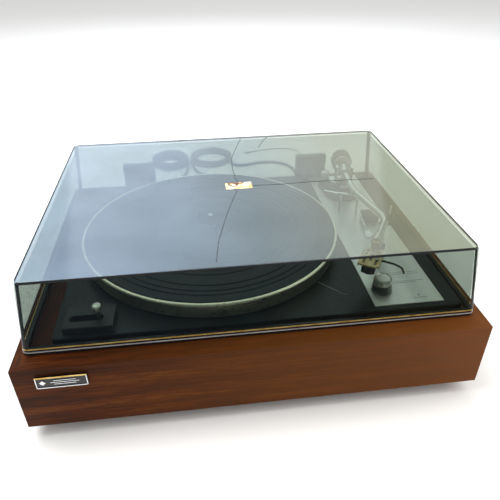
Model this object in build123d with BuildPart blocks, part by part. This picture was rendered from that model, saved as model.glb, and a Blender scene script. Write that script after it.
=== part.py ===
from build123d import *
import math
import os

os.makedirs("parts", exist_ok=True)

# Turntable record player, millimetres.
# Origin: the centre of the plinth on the surface that the feet stand on.
# +X to the right, +Y to the back, +Z up.

# Plinth
plinth_w = 460.0
plinth_d = 370.0
plinth_h = 75.4
foot_h = 16.0
foot_r = 15.0
foot_x = 190.0
foot_y = 145.0
wall_t = 16.0
rail_w = 36.0
rail_t = 12.0
board_t = 6.0
block_side = 40.0
plinth_top = foot_h + plinth_h
board_top = foot_h + board_t
trim_proud = 2.0

# Deck
deck_left = -197.0
deck_right = 212.0
deck_front = -155.5
deck_back = 166.0
deck_rise = 8.0
deck_t = 3.0
deck_top = plinth_top + deck_rise
plate_left = 121.3
plate_right = 194.5
plate_front = -149.0
plate_back = 161.0
plate_t = 1.0
plate_top = deck_top + plate_t

# Platter and bearing
spindle_x = -35.5
spindle_y = 2.5
platter_r = 151.4
lip_w = 2.8
lip_z = 119.5
skirt_h = 17.0
skirt_t = 5.0
platter_floor = 116.5
platter_t = 4.0
mat_t = 3.5
belt_rim_r = 99.0
belt_rim_t = 4.0
spindle_r = 3.6
spindle_seat_r = 4.4
shaft_r = 4.0
shaft_bottom = 44.0
spindle_top = 136.0
running_gap = 0.06

# Drive
motor_reach = 122.0
motor_angle = 227.4
motor_x = spindle_x + motor_reach * math.cos(math.radians(motor_angle))
motor_y = spindle_y + motor_reach * math.sin(math.radians(motor_angle))
motor_r = 31.0
motor_bottom = 50.0
motor_top = 86.0
pulley_slow_r = 8.8
pulley_fast_r = 11.88
step_h = 4.4
pulley_z = 103.0
belt_w = 4.0
belt_t = 0.8
belt_gap = 0.25
deck_under = deck_top - deck_t

# Controls
lever_x = -153.5
lever_y = -137.5
lever_travel = 24.0
block_left = -186.7
block_right = -138.4
block_front = -151.4
block_back = -118.0
block_rise = 8.0
knob_x = 136.0
knob_y = -124.0

# Tonearm
pivot_x = 156.0
pivot_y = 98.0
arm_z = 138.0
tube_r = 4.3
tube_wall = 0.6
collar_x = 142.0
collar_y = -82.5
shell_turn = 30.0
shell_len = 52.0
shell_w = 22.0
stylus_back = 11.0
weight_r = 14.0
weight_len = 22.0

# Cover
cover_left = -222.0
cover_right = 220.0
cover_front = -166.0
cover_back = 173.0
cover_h = 77.4
cover_lean = 9.0
cover_wall = 3.0
rim_h = 7.0
rim_gap = 0.05
hinge_y = 180.5
hinge_z = 96.0
hinge_x = (-131.0, 127.0)
holder_w = 44.5
holder_h = 39.0
pin_r = 2.0

# Cords
mains_r = 2.75
signal_r = 3.0
earth_r = 1.0
lead_exit_y = 215.0
mains_x = -150.0
signal_x = 146.0
earth_x = 172.0
exit_z = 40.0


def finish(part, name):
    part.label = name
    export_step(part, f"parts/{name}.step")


def cup_screw(x, y, z, length, head_r, head_h, shank_r, up=True):
    """A screw whose head seats at height z and whose shank runs up or down from it."""
    sign = 1 if up else -1
    head = Pos(x, y, z - sign * head_h / 2) * Cylinder(head_r, head_h)
    shank = Pos(x, y, z + sign * length / 2) * Cylinder(shank_r, length)
    return head + shank


# ---- Plinth: four mitred walls, each with its top rail --------------------------------
def plinth_wall(length, depth, name, turn, slots):
    """One wall with its rail, its outer face at y = -depth / 2, mitred at both ends."""
    with BuildPart() as wall:
        with BuildSketch(Plane.YZ.offset(-length / 2)):
            with BuildLine():
                Polyline(
                    (-depth / 2, foot_h),
                    (-depth / 2 + wall_t, foot_h),
                    (-depth / 2 + wall_t, plinth_top - rail_t),
                    (-depth / 2 + rail_w, plinth_top - rail_t),
                    (-depth / 2 + rail_w, plinth_top),
                    (-depth / 2, plinth_top),
                    close=True,
                )
            make_face()
        extrude(amount=length)
        for side in (-1, 1):
            cut = Plane(origin=(side * length / 2, -depth / 2, 0), z_dir=(side, 1, 0))
            split(bisect_by=cut, keep=Keep.BOTTOM)
        for x, z, r in slots:
            with BuildSketch(Plane.XZ.offset(depth / 2 - wall_t - 1)):
                with Locations((x, z)):
                    Circle(r)
            extrude(amount=wall_t + 2, mode=Mode.SUBTRACT)
    made = wall.part.rotate(Axis.Z, turn)
    finish(made, name)
    return made


gland_r = 6.0
plinth_front = plinth_wall(plinth_w, plinth_d, "plinth_front", 0, [])
plinth_left = plinth_wall(plinth_d, plinth_w, "plinth_left", -90, [])
plinth_right = plinth_wall(plinth_d, plinth_w, "plinth_right", 90, [])
rear_holes = [(-x, exit_z, gland_r) for x in (mains_x, signal_x, earth_x)]
plinth_rear = plinth_wall(plinth_w, plinth_d, "plinth_rear", 180, rear_holes)

with BuildPart() as corner_blocks:
    for sx in (-1, 1):
        for sy in (-1, 1):
            cx = sx * (plinth_w / 2 - wall_t - block_side / 2)
            cy = sy * (plinth_d / 2 - wall_t - block_side / 2)
            with BuildSketch(Plane.XY.offset(board_top)):
                with Locations((cx, cy)):
                    Rectangle(block_side, block_side)
            extrude(amount=plinth_top - rail_t - board_top)
    for sx in (-1, 1):
        for sy in (-1, 1):
            with Locations((sx * foot_x, sy * foot_y, board_top + 12)):
                Cylinder(1.7, 24.2, mode=Mode.SUBTRACT)
finish(corner_blocks.part, "corner_blocks")

vent_rows = 5
with BuildPart() as bottom_board:
    with BuildSketch(Plane.XY.offset(foot_h)):
        Rectangle(plinth_w - 2 * wall_t - 0.4, plinth_d - 2 * wall_t - 0.4)
        with Locations((motor_x, motor_y)):
            with GridLocations(0, 9, 1, vent_rows):
                SlotOverall(60, 4, mode=Mode.SUBTRACT)
        with GridLocations(2 * foot_x, 2 * foot_y, 2, 2):
            Circle(2.1, mode=Mode.SUBTRACT)
    extrude(amount=board_t)
finish(bottom_board.part, "bottom_board")

with BuildPart() as feet:
    for sx in (-1, 1):
        for sy in (-1, 1):
            with BuildSketch() as pad:
                with Locations((sx * foot_x, sy * foot_y)):
                    Circle(foot_r)
            extrude(amount=foot_h, taper=4)
            with Locations((sx * foot_x, sy * foot_y, 4)):
                Cylinder(5, 8.01, mode=Mode.SUBTRACT)
            with Locations((sx * foot_x, sy * foot_y, 12)):
                Cylinder(2.1, 9, mode=Mode.SUBTRACT)
finish(feet.part, "feet")

foot_screws = [
    cup_screw(sx * foot_x, sy * foot_y, 8.0, 35, 4.0, 2.6, 1.65) for sx in (-1, 1) for sy in (-1, 1)
]
finish(Compound(children=foot_screws), "base_screws")

badge_w = 46.5
badge_h = 13.5
badge_x = -186.2
badge_z = 75.8
with BuildPart() as badge:
    with BuildSketch(Plane.XZ.offset(plinth_d / 2)):
        with Locations((badge_x, badge_z)):
            RectangleRounded(badge_w, badge_h, 0.8)
    extrude(amount=trim_proud)
    with BuildSketch(Plane.XZ.offset(plinth_d / 2 + trim_proud)):
        with Locations((badge_x, badge_z)):
            RectangleRounded(badge_w - 1.6, badge_h - 1.6, 0.5)
    extrude(amount=-0.5, mode=Mode.SUBTRACT)
finish(badge.part, "badge")

# ---- Deck: an inverted tray on the rails --------------------------------------------
deck_w = deck_right - deck_left
deck_d = deck_back - deck_front
deck_cx = (deck_left + deck_right) / 2
deck_cy = (deck_front + deck_back) / 2
rail_reach = 62.0
rail_post_angles = (-109.0, -89.0)
rail_post_x = [pivot_x + rail_reach * math.cos(math.radians(a)) for a in rail_post_angles]
rail_post_y = [pivot_y + rail_reach * math.sin(math.radians(a)) for a in rail_post_angles]
rail_post_r = 1.8
slot_x = lever_x - lever_travel / 2
pulley_hole_r = 19.0
arm_shank_r = 9.0
fork_x = motor_x - 24.0
fork_y = motor_y + 10.0
fork_w = 6.0
fork_end = 3.0
fork_plate_z = pulley_z - 6.4
belt_tangent = math.radians(motor_angle) - math.acos((belt_rim_r - pulley_slow_r) / motor_reach)
belt_line_x = motor_x + (pulley_slow_r + belt_gap) * math.cos(belt_tangent) - 1.1


def cut_round(x, y, r, low, high):
    with Locations((x, y, (low + high) / 2)):
        Cylinder(r, high - low, mode=Mode.SUBTRACT)


with BuildPart() as deck_plate:
    with BuildSketch(Plane.XY.offset(plinth_top)):
        with Locations((deck_cx, deck_cy)):
            RectangleRounded(deck_w, deck_d, 2.0)
    extrude(amount=deck_rise)
    top_edges = deck_plate.edges().group_by(Axis.Z)[-1]
    chamfer(top_edges, 0.6)
    with BuildSketch(Plane.XY.offset(plinth_top)):
        with Locations((deck_cx, deck_cy)):
            Rectangle(deck_w - 2 * deck_t, deck_d - 2 * deck_t)
    extrude(amount=deck_rise - deck_t, mode=Mode.SUBTRACT)
    cut_round(spindle_x, spindle_y, 10.2, plinth_top, plinth_top + 20)
    cut_round(motor_x, motor_y, pulley_hole_r, plinth_top, plinth_top + 20)
    with BuildSketch(Plane.XY.offset(plinth_top)):
        with Locations(((fork_x + belt_line_x) / 2, fork_y)):
            Rectangle(belt_line_x - fork_x + 2 * fork_end + 1.2, fork_w + 1.2)
    extrude(amount=20, mode=Mode.SUBTRACT)
    cut_round(knob_x, knob_y, 5.0, plinth_top, plinth_top + 20)
    cut_round(pivot_x, pivot_y, arm_shank_r + 0.2, plinth_top, plinth_top + 20)
    for x, y in zip(rail_post_x, rail_post_y):
        cut_round(x, y, rail_post_r + running_gap, plinth_top, plinth_top + 20)
    with BuildSketch(Plane.XY.offset(plinth_top)):
        with Locations((slot_x, lever_y)):
            SlotOverall(lever_travel + 9, 9)
    extrude(amount=20, mode=Mode.SUBTRACT)
finish(deck_plate.part, "deck_plate")

with BuildPart() as arm_plate:
    with BuildSketch(Plane.XY.offset(deck_top)):
        with Locations(((plate_left + plate_right) / 2, (plate_front + plate_back) / 2)):
            Rectangle(plate_right - plate_left, plate_back - plate_front)
    extrude(amount=plate_t)
    chamfer(arm_plate.edges().group_by(Axis.Z)[-1], 0.3)
    cut_round(knob_x, knob_y, 5.0, deck_top - 1, plate_top + 1)
    cut_round(pivot_x, pivot_y, arm_shank_r + 0.2, deck_top - 1, plate_top + 1)
    for x, y in zip(rail_post_x, rail_post_y):
        cut_round(x, y, rail_post_r + running_gap, deck_top - 1, plate_top + 1)
finish(arm_plate.part, "arm_plate")

# ---- Speed control ---------------------------------------------------------------------
block_cx = (block_left + block_right) / 2
block_cy = (block_front + block_back) / 2
with BuildPart() as speed_block:
    with BuildSketch(Plane.XY.offset(deck_top)):
        with Locations((block_cx, block_cy)):
            RectangleRounded(block_right - block_left, block_back - block_front, 1.0)
    extrude(amount=block_rise)
    chamfer(speed_block.edges().group_by(Axis.Z)[-1], 0.6)
    with BuildSketch(Plane.XY.offset(deck_top)):
        with Locations((slot_x, lever_y)):
            SlotOverall(lever_travel + 9, 9)
    extrude(amount=block_rise + 1, mode=Mode.SUBTRACT)
finish(speed_block.part, "speed_block")

slide_z = deck_under - 8.0
slide_t = 2.0
ramp_w = 6.0
ramp_start = 2.2
ramp_rise = step_h
lever_top = 119.0
with BuildPart() as speed_lever:
    with BuildSketch(Plane.XY.offset(slide_z)):
        with Locations((lever_x - 1, lever_y)):
            Rectangle(22, 14)
        with Locations((fork_x - 2, (lever_y + fork_y) / 2)):
            Rectangle(12, fork_y - lever_y + ramp_w)
        with Locations((fork_x + 10, fork_y)):
            Rectangle(36, ramp_w)
    extrude(amount=slide_t)
    with BuildSketch(Plane.XZ.offset(-fork_y - ramp_w / 2)):
        with BuildLine():
            Polyline(
                (fork_x + ramp_start, slide_z + slide_t),
                (fork_x + lever_travel + 2, slide_z + slide_t),
                (fork_x + lever_travel + 2, slide_z + slide_t + ramp_rise),
                close=True,
            )
        make_face()
        with Locations((fork_x + lever_travel + 3, slide_z + slide_t + ramp_rise / 2)):
            Rectangle(2, ramp_rise)
    extrude(amount=ramp_w)
    with Locations((lever_x, lever_y, (slide_z + lever_top) / 2)):
        Cylinder(2.4, lever_top - slide_z)
finish(speed_lever.part, "speed_lever")

with BuildPart() as speed_cap:
    with BuildSketch(Plane.XY.offset(117.0)):
        with Locations((lever_x, lever_y)):
            Circle(4.6)
    extrude(amount=6.0)
    fillet(speed_cap.edges().group_by(Axis.Z)[-1], 2.0)
    with Locations((lever_x, lever_y, 118.0)):
        Cylinder(2.4, 2.01, mode=Mode.SUBTRACT)
finish(speed_cap.part, "speed_cap")

fork_low = slide_z + slide_t + 0.3
fork_plate_t = 1.2
prong_tops = {-1: 107.4, 1: pulley_z - 0.2}
with BuildPart() as belt_fork:
    with Locations((fork_x, fork_y, (fork_low + fork_plate_z) / 2)):
        Cylinder(2.0, fork_plate_z - fork_low)
    with Locations(((fork_x + belt_line_x) / 2, fork_y, fork_plate_z + fork_plate_t / 2)):
        Box(belt_line_x - fork_x + 2 * fork_end, fork_w, fork_plate_t)
    for side, prong_top in prong_tops.items():
        with Locations((belt_line_x + side * 2.4, fork_y, (fork_plate_z + prong_top) / 2)):
            Box(1.0, 3.0, prong_top - fork_plate_z)
finish(belt_fork.part, "belt_fork")

# ---- Function control ------------------------------------------------------------------
knob_skirt_r = 11.0
knob_skirt_h = 9.0
knob_cap_r = 9.4
knob_top = 117.0
with BuildPart() as knob_skirt:
    with BuildSketch(Plane.XY.offset(plate_top + 0.4)):
        with Locations((knob_x, knob_y)):
            Circle(knob_skirt_r)
    extrude(amount=knob_skirt_h)
    chamfer(knob_skirt.edges().group_by(Axis.Z)[-1], 1.6)
    with Locations((knob_x, knob_y, 90.5)):
        Cylinder(3.0, 22)
finish(knob_skirt.part, "knob_skirt")

with BuildPart() as knob_cap:
    with BuildSketch(Plane.XY.offset(plate_top + 0.4 + knob_skirt_h)):
        with Locations((knob_x, knob_y)):
            Circle(knob_cap_r)
    extrude(amount=knob_top - plate_top - 0.4 - knob_skirt_h)
    chamfer(knob_cap.edges().group_by(Axis.Z)[-1], 0.8)
finish(knob_cap.part, "knob_cap")

with BuildPart() as function_switch:
    with Locations((knob_x, knob_y, deck_under - 11)):
        Box(26, 26, 22)
    with Locations((knob_x, knob_y, deck_under - 11)):
        Cylinder(3.0 + running_gap, 30, mode=Mode.SUBTRACT)
    with Locations((knob_x, knob_y, deck_under - 24)):
        with GridLocations(6, 16, 3, 2):
            Box(1.0, 3.0, 5.0)
finish(function_switch.part, "function_switch")

# ---- Platter and its bearing -------------------------------------------------------------
hub_r = 18.0
hub_bottom = 102.0
rim_bottom = 102.9
disc_bottom = platter_floor - platter_t
with BuildPart() as platter:
    with BuildSketch(Plane.XZ):
        with BuildLine():
            Polyline(
                (spindle_seat_r + 0.02, platter_floor),
                (platter_r - lip_w, platter_floor),
                (platter_r - lip_w, lip_z),
                (platter_r - 0.8, lip_z),
                (platter_r, lip_z - 0.8),
                (platter_r, lip_z - 2.6),
                (platter_r - 1.0, lip_z - 3.2),
                (platter_r - 1.6, lip_z - skirt_h),
                (platter_r - 1.6 - skirt_t, lip_z - skirt_h),
                (platter_r - 1.6 - skirt_t, disc_bottom),
                (belt_rim_r, disc_bottom),
                (belt_rim_r, rim_bottom),
                (belt_rim_r - belt_rim_t, rim_bottom),
                (belt_rim_r - belt_rim_t, disc_bottom),
                (hub_r, disc_bottom),
                (hub_r, hub_bottom),
                (shaft_r + 0.02, hub_bottom),
                (shaft_r + 0.02, disc_bottom),
                (spindle_seat_r + 0.02, disc_bottom),
                close=True,
            )
        make_face()
    revolve(axis=Axis.Z)
platter_made = platter.part.moved(Location((spindle_x, spindle_y, 0)))
finish(platter_made, "platter")

with BuildPart() as platter_mat:
    with BuildSketch(Plane.XY.offset(platter_floor)):
        with Locations((spindle_x, spindle_y)):
            Circle(platter_r - lip_w - 0.4)
            Circle(spindle_seat_r + 0.3, mode=Mode.SUBTRACT)
    extrude(amount=mat_t)
finish(platter_mat.part, "platter_mat")

with BuildPart() as spindle:
    with BuildSketch(Plane.XY.offset(shaft_bottom + 0.1)):
        with Locations((spindle_x, spindle_y)):
            Circle(shaft_r)
    extrude(amount=disc_bottom - shaft_bottom - 0.1)
    with BuildSketch(Plane.XY.offset(disc_bottom)):
        with Locations((spindle_x, spindle_y)):
            Circle(spindle_seat_r)
    extrude(amount=platter_floor + mat_t - disc_bottom)
    with BuildSketch(Plane.XY.offset(platter_floor + mat_t)):
        with Locations((spindle_x, spindle_y)):
            Circle(spindle_r)
    extrude(amount=spindle_top - platter_floor - mat_t)
    fillet(spindle.edges().group_by(Axis.Z)[-1], 2.2)
finish(spindle.part, "spindle")

ball_r = 2.5
with BuildPart() as bearing_housing:
    with BuildSketch(Plane.XY.offset(shaft_bottom - 8)):
        with Locations((spindle_x, spindle_y)):
            Circle(10)
    extrude(amount=hub_bottom - 0.8 - shaft_bottom + 8)
    with BuildSketch(Plane.XY.offset(deck_under - 4)):
        with Locations((spindle_x, spindle_y)):
            Circle(26)
    extrude(amount=4)
    with BuildSketch(Plane.XY.offset(shaft_bottom - 2 * ball_r)):
        with Locations((spindle_x, spindle_y)):
            Circle(shaft_r + running_gap)
    extrude(amount=80, mode=Mode.SUBTRACT)
    with Locations((spindle_x, spindle_y, deck_under - 2)):
        with PolarLocations(20, 3, 90):
            Cylinder(2.1, 5, mode=Mode.SUBTRACT)
finish(bearing_housing.part, "bearing_housing")

with BuildPart() as thrust_ball:
    with Locations((spindle_x, spindle_y, shaft_bottom - ball_r + 0.02)):
        Sphere(ball_r)
finish(thrust_ball.part, "thrust_ball")

# ---- Motor, pulley and belt -----------------------------------------------------------
flange_t = 2.0
grommet_angles = (0.0, 110.0, 285.0)
grommet_reach = 37.0
grommet_r = 5.5
grommets = [
    (motor_x + grommet_reach * math.cos(math.radians(a)), motor_y + grommet_reach * math.sin(math.radians(a)))
    for a in grommet_angles
]
with BuildPart() as motor:
    with BuildSketch(Plane.XY.offset(motor_bottom)):
        with Locations((motor_x, motor_y)):
            Circle(motor_r)
    extrude(amount=motor_top - flange_t - motor_bottom)
    fillet(motor.edges().group_by(Axis.Z)[0], 2.5)
    with BuildSketch(Plane.XY.offset(motor_top - flange_t)):
        with Locations((motor_x, motor_y)):
            Circle(motor_r)
        with Locations(*grommets):
            Circle(grommet_r + 1.5)
        make_hull()
        with Locations(*grommets):
            Circle(1.8, mode=Mode.SUBTRACT)
    extrude(amount=flange_t)
    with BuildSketch(Plane.XY.offset(motor_top)):
        with Locations((motor_x, motor_y)):
            Circle(6)
    extrude(amount=2)
    with Locations((motor_x, motor_y, motor_top - 10)):
        Cylinder(2.0 + running_gap, 30, mode=Mode.SUBTRACT)
finish(motor.part, "motor")

with BuildPart() as motor_grommets:
    with BuildSketch(Plane.XY.offset(motor_top)):
        with Locations(*grommets):
            Circle(grommet_r)
            Circle(1.8, mode=Mode.SUBTRACT)
    extrude(amount=deck_under - motor_top)
finish(motor_grommets.part, "motor_grommets")

bearing_screws = [
    cup_screw(
        spindle_x + 20 * math.cos(math.radians(a)),
        spindle_y + 20 * math.sin(math.radians(a)),
        deck_under - 4,
        5.4,
        3.5,
        2.0,
        2.0,
    )
    for a in (90, 210, 330)
]
motor_screws = [
    cup_screw(x, y, motor_top - flange_t, deck_under - motor_top + flange_t, 3.5, 2.0, 1.75)
    for x, y in grommets
]

with BuildPart() as motor_pulley:
    with Locations((motor_x, motor_y, (motor_top - 20 + pulley_z) / 2)):
        Cylinder(2.0, pulley_z - motor_top + 20)
    with BuildSketch(Plane.XY.offset(pulley_z)):
        with Locations((motor_x, motor_y)):
            Circle(pulley_slow_r)
    extrude(amount=step_h)
    with BuildSketch(Plane.XY.offset(pulley_z + step_h)):
        with Locations((motor_x, motor_y)):
            Circle(pulley_fast_r)
    extrude(amount=step_h)
finish(motor_pulley.part, "motor_pulley")


def belt_outline(grow):
    with BuildSketch(mode=Mode.PRIVATE) as outline:
        with Locations((spindle_x, spindle_y)):
            Circle(belt_rim_r + grow)
        with Locations((motor_x, motor_y)):
            Circle(pulley_slow_r + grow)
        make_hull()
    return outline.sketch


with BuildPart() as drive_belt:
    with BuildSketch(Plane.XY.offset(pulley_z + 0.2)) as loop:
        add(belt_outline(belt_gap + belt_t))
        add(belt_outline(belt_gap), mode=Mode.SUBTRACT)
    extrude(loop.sketch, amount=belt_w)
finish(drive_belt.part, "drive_belt")

# ---- Tonearm -------------------------------------------------------------------------
stylus_x = collar_x - (shell_len - stylus_back) * math.sin(math.radians(shell_turn))
stylus_y = collar_y - (shell_len - stylus_back) * math.cos(math.radians(shell_turn))
arm_len = math.hypot(pivot_x - stylus_x, pivot_y - stylus_y)
back_x = (pivot_x - stylus_x) / arm_len
back_y = (pivot_y - stylus_y) / arm_len
print("tonearm length", round(arm_len, 2), "back axis", round(back_x, 5), round(back_y, 5))
base_r = 22.0
column_r = 13.0
column_top = 116.0
bias_x = 138.0
bias_y = 127.0
bias_r = 6.5
stem_r = 4.0

with BuildPart() as arm_base:
    with BuildSketch(Plane.XY.offset(plate_top)):
        with Locations((pivot_x, pivot_y)):
            Circle(base_r)
        with Locations((bias_x, bias_y)):
            Circle(bias_r + 2.5)
        make_hull()
    extrude(amount=6)
    chamfer(arm_base.edges().group_by(Axis.Z)[-1], 1.2)
    with BuildSketch(Plane.XY.offset(plate_top + 6)):
        with Locations((pivot_x, pivot_y)):
            Circle(column_r)
        with Locations((bias_x, bias_y)):
            Circle(bias_r)
    extrude(amount=5.6)
    with BuildSketch(Plane.XY.offset(plate_top + 11.6)):
        with Locations((pivot_x, pivot_y)):
            Circle(column_r)
    extrude(amount=column_top - plate_top - 11.6)
    with BuildSketch(Plane.XY.offset(70)):
        with Locations((pivot_x, pivot_y)):
            Circle(arm_shank_r)
    extrude(amount=plate_top - 70)
    with Locations((pivot_x, pivot_y, 95)):
        Cylinder(stem_r + running_gap, 60, mode=Mode.SUBTRACT)
finish(arm_base.part, "arm_base")

with BuildPart() as arm_nut:
    with BuildSketch(Plane.XY.offset(deck_under - 7)):
        with Locations((pivot_x, pivot_y)):
            RegularPolygon(15, 6)
            Circle(arm_shank_r + 0.02, mode=Mode.SUBTRACT)
    extrude(amount=7)
finish(Compound(children=[*bearing_screws, *motor_screws, arm_nut.part]), "deck_fasteners")

arm_plane = Plane(origin=(pivot_x, pivot_y, arm_z), x_dir=(-back_y, back_x, 0), z_dir=(back_x, back_y, 0))
cheek_in = 8.6
cheek_t = 3.0
yoke_r = 12.5
cheek_flat = Plane(origin=(pivot_x, pivot_y, column_top + 5), x_dir=(back_y, -back_x, 0), z_dir=(0, 0, 1))
with BuildPart() as arm_yoke:
    with BuildSketch(Plane.XY.offset(column_top + 0.4)):
        with Locations((pivot_x, pivot_y)):
            Circle(yoke_r)
    extrude(amount=4.6)
    with BuildSketch(Plane.XY.offset(72)):
        with Locations((pivot_x, pivot_y)):
            Circle(stem_r)
    extrude(amount=column_top + 0.4 - 72)
    with BuildSketch(cheek_flat):
        for side in (-1, 1):
            with Locations((side * (cheek_in + cheek_t / 2), 0)):
                Rectangle(cheek_t, 11)
    extrude(amount=arm_z + 5.5 - column_top - 5)
    for side in (-1, 1):
        start = arm_plane.from_local_coords((side * (cheek_in + cheek_t), 0, 0))
        with BuildSketch(Plane(origin=start, z_dir=(side * back_y, -side * back_x, 0))):
            Circle(1.3)
        extrude(amount=cheek_in + cheek_t - 4.5)
finish(arm_yoke.part, "arm_yoke")


def along_arm(distance, height=0.0):
    return (pivot_x + distance * back_x, pivot_y + distance * back_y, arm_z + height)


def arm_disc(distance, radius, length, mode=Mode.ADD):
    """A round solid on the arm's own axis, from distance to distance + length behind the pivot."""
    with BuildSketch(Plane(origin=along_arm(distance), z_dir=(back_x, back_y, 0))) as disc:
        Circle(radius)
    extrude(disc.sketch, amount=length, mode=mode)


shell_dir = (-math.sin(math.radians(shell_turn)), -math.cos(math.radians(shell_turn)))


def on_shell(s, w, z=0.0):
    """A point s in front of the collar's face and w to the headshell's finger side."""
    x = collar_x + s * shell_dir[0] - w * shell_dir[1]
    y = collar_y + s * shell_dir[1] + w * shell_dir[0]
    return (x, y, z)


tube_start = along_arm(-11)
with BuildPart() as arm_tube:
    with BuildLine() as tube_line:
        FilletPolyline(
            tube_start,
            (150.0, 33.0, arm_z),
            (165.5, -41.8, arm_z),
            on_shell(3.0, 0, arm_z),
            radius=(70, 30),
        )
    tube_face = Plane(origin=tube_line.line @ 0, z_dir=tube_line.line % 0)
    with BuildSketch(tube_face):
        Circle(tube_r)
        Circle(tube_r - tube_wall, mode=Mode.SUBTRACT)
    sweep(path=tube_line.line)
    arm_disc(-13, 6.8, 26)
    arm_disc(13, 5.0, 34)
    start = along_arm(0)
    with BuildSketch(Plane(origin=start, z_dir=(back_y, -back_x, 0))):
        Circle(1.3 + running_gap)
    extrude(amount=20, both=True, mode=Mode.SUBTRACT)
finish(arm_tube.part, "arm_tube")

shell_axis = Plane(origin=on_shell(0, 0, arm_z), z_dir=(*shell_dir, 0))
with BuildPart() as arm_collar:
    with BuildSketch(shell_axis.offset(-3)):
        Circle(6.6)
    extrude(amount=12)
    fillet(arm_collar.edges().filter_by(GeomType.CIRCLE), 0.8)
    with BuildSketch(shell_axis.offset(-4)):
        Circle(tube_r + running_gap)
    extrude(amount=14, mode=Mode.SUBTRACT)
finish(arm_collar.part, "arm_collar")

shell_flat = Plane(origin=on_shell(0, 0, 0), x_dir=(*shell_dir, 0), z_dir=(0, 0, 1))
shell_top = 136.0
shell_t = 1.8
neck_s = 9.4
with BuildPart() as headshell:
    with BuildSketch(shell_flat.offset(shell_top - shell_t)):
        with BuildLine():
            Polyline(
                (neck_s, -4.5),
                (neck_s + 7, -5.0),
                (neck_s + 16, -shell_w / 2),
                (shell_len - 2.5, -shell_w / 2),
                (shell_len, -shell_w / 2 + 3.5),
                (shell_len, shell_w / 2 - 3.5),
                (shell_len - 2.5, shell_w / 2),
                (neck_s + 16, shell_w / 2),
                (neck_s + 7, 5.0),
                (neck_s, 4.5),
                close=True,
            )
        make_face()
        for s, w in ((24, 0), (30, -6), (30, 6), (40.5, 0), (46.5, -6), (46.5, 6)):
            with Locations((s, w)):
                Circle(1.5, mode=Mode.SUBTRACT)
        for w in (-6.35, 6.35):
            with Locations((38, w)):
                SlotOverall(9, 2.8, mode=Mode.SUBTRACT)
    extrude(amount=shell_t)
    for side in (-1, 1):
        with BuildSketch(shell_flat.offset(shell_top - 4.6)):
            with Locations(((neck_s + 16 + shell_len - 3) / 2, side * (shell_w / 2 - 0.5))):
                Rectangle(shell_len - 3 - neck_s - 16, 1.0)
        extrude(amount=3.2)
    with BuildSketch(shell_flat.offset(shell_top - shell_t)):
        with Locations((neck_s + 3, 0)):
            Rectangle(6, 9)
    extrude(amount=7.4)
    with BuildSketch(shell_axis.offset(3.2)):
        Circle(3.9)
    extrude(amount=6.4)
finish(headshell.part, "headshell")

with BuildPart() as finger_lift:
    with BuildLine() as lift_line:
        FilletPolyline(
            on_shell(34, shell_w / 2 + 0.05, 133.4),
            on_shell(35, shell_w / 2 + 13, 133.2),
            on_shell(38, shell_w / 2 + 21, 132.6),
            on_shell(44, shell_w / 2 + 24, 131.0),
            radius=(7, 4),
        )
    with BuildSketch(Plane(origin=lift_line.line @ 0, z_dir=lift_line.line % 0)):
        Circle(1.1)
    sweep(path=lift_line.line)
finish(finger_lift.part, "finger_lift")

mount_s = 38.0
cartridge_under = shell_top - shell_t
stylus_low = 121.7
with BuildPart() as cartridge:
    with BuildSketch(shell_flat.offset(cartridge_under - 2.0)):
        with Locations((mount_s, 0)):
            RectangleRounded(9, 17.4, 1.5)
            with Locations((0, -6.35), (0, 6.35)):
                Circle(1.35, mode=Mode.SUBTRACT)
    extrude(amount=2.0)
    with BuildSketch(shell_flat.offset(cartridge_under - 9.6)):
        with Locations((mount_s, 0)):
            RectangleRounded(24, 9.6, 1.0)
    extrude(amount=8.6)
    with BuildSketch(shell_flat.offset(cartridge_under - 9.6)):
        with Locations((mount_s + 4, 0)):
            RectangleRounded(15, 14.0, 1.5)
    extrude(amount=5.4)
finish(cartridge.part, "cartridge")

with BuildPart() as stylus:
    with BuildSketch(shell_flat.offset(cartridge_under - 11.4)):
        with Locations((mount_s + 4, 0)):
            RectangleRounded(13, 6.0, 1.2)
    extrude(amount=1.8)
    with BuildSketch(shell_flat.offset(stylus_low)):
        with Locations((shell_len - stylus_back, 0)):
            Circle(0.4)
    extrude(amount=cartridge_under - 11.4 - stylus_low)
finish(stylus.part, "stylus")

cartridge_screw_list = [
    cup_screw(*on_shell(mount_s, w, shell_top), 4.4, 2.2, 1.4, 1.25, up=False) for w in (-6.35, 6.35)
]
finish(Compound(children=cartridge_screw_list), "cartridge_screws")

with BuildPart() as counterweight:
    arm_disc(23, weight_r, weight_len)
    chamfer(counterweight.edges().filter_by(GeomType.CIRCLE), 1.0)
    arm_disc(22, 5.0 + running_gap, weight_len + 2, Mode.SUBTRACT)
finish(counterweight.part, "counterweight")

with BuildPart() as weight_dial:
    arm_disc(17.6, 12.6, 5.0)
    arm_disc(17, 5.0 + running_gap, 8, Mode.SUBTRACT)
finish(weight_dial.part, "weight_dial")

with BuildPart() as antiskate_knob:
    with BuildSketch(Plane.XY.offset(plate_top + 12)):
        with Locations((bias_x, bias_y)):
            Circle(bias_r)
    extrude(amount=12)
    chamfer(antiskate_knob.edges().group_by(Axis.Z)[-1], 0.8)
finish(antiskate_knob.part, "antiskate_knob")

# ---- Cue lever, lift rail and arm rest ----------------------------------------------
cue_x = 171.0
cue_y = 22.0
cue_axis_z = 107.0
cue_half = 10.0
with BuildPart() as cue_housing:
    with BuildSketch(Plane.XY.offset(plate_top)):
        with Locations((cue_x, cue_y)):
            RectangleRounded(2 * cue_half, 15, 1.0)
    extrude(amount=12)
    chamfer(cue_housing.edges().group_by(Axis.Z)[-1], 1.0)
    with Locations((cue_x - cue_half, cue_y, cue_axis_z)):
        Cylinder(2.0 + running_gap, 16, rotation=(0, 90, 0), mode=Mode.SUBTRACT)
finish(cue_housing.part, "cue_housing")

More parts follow.
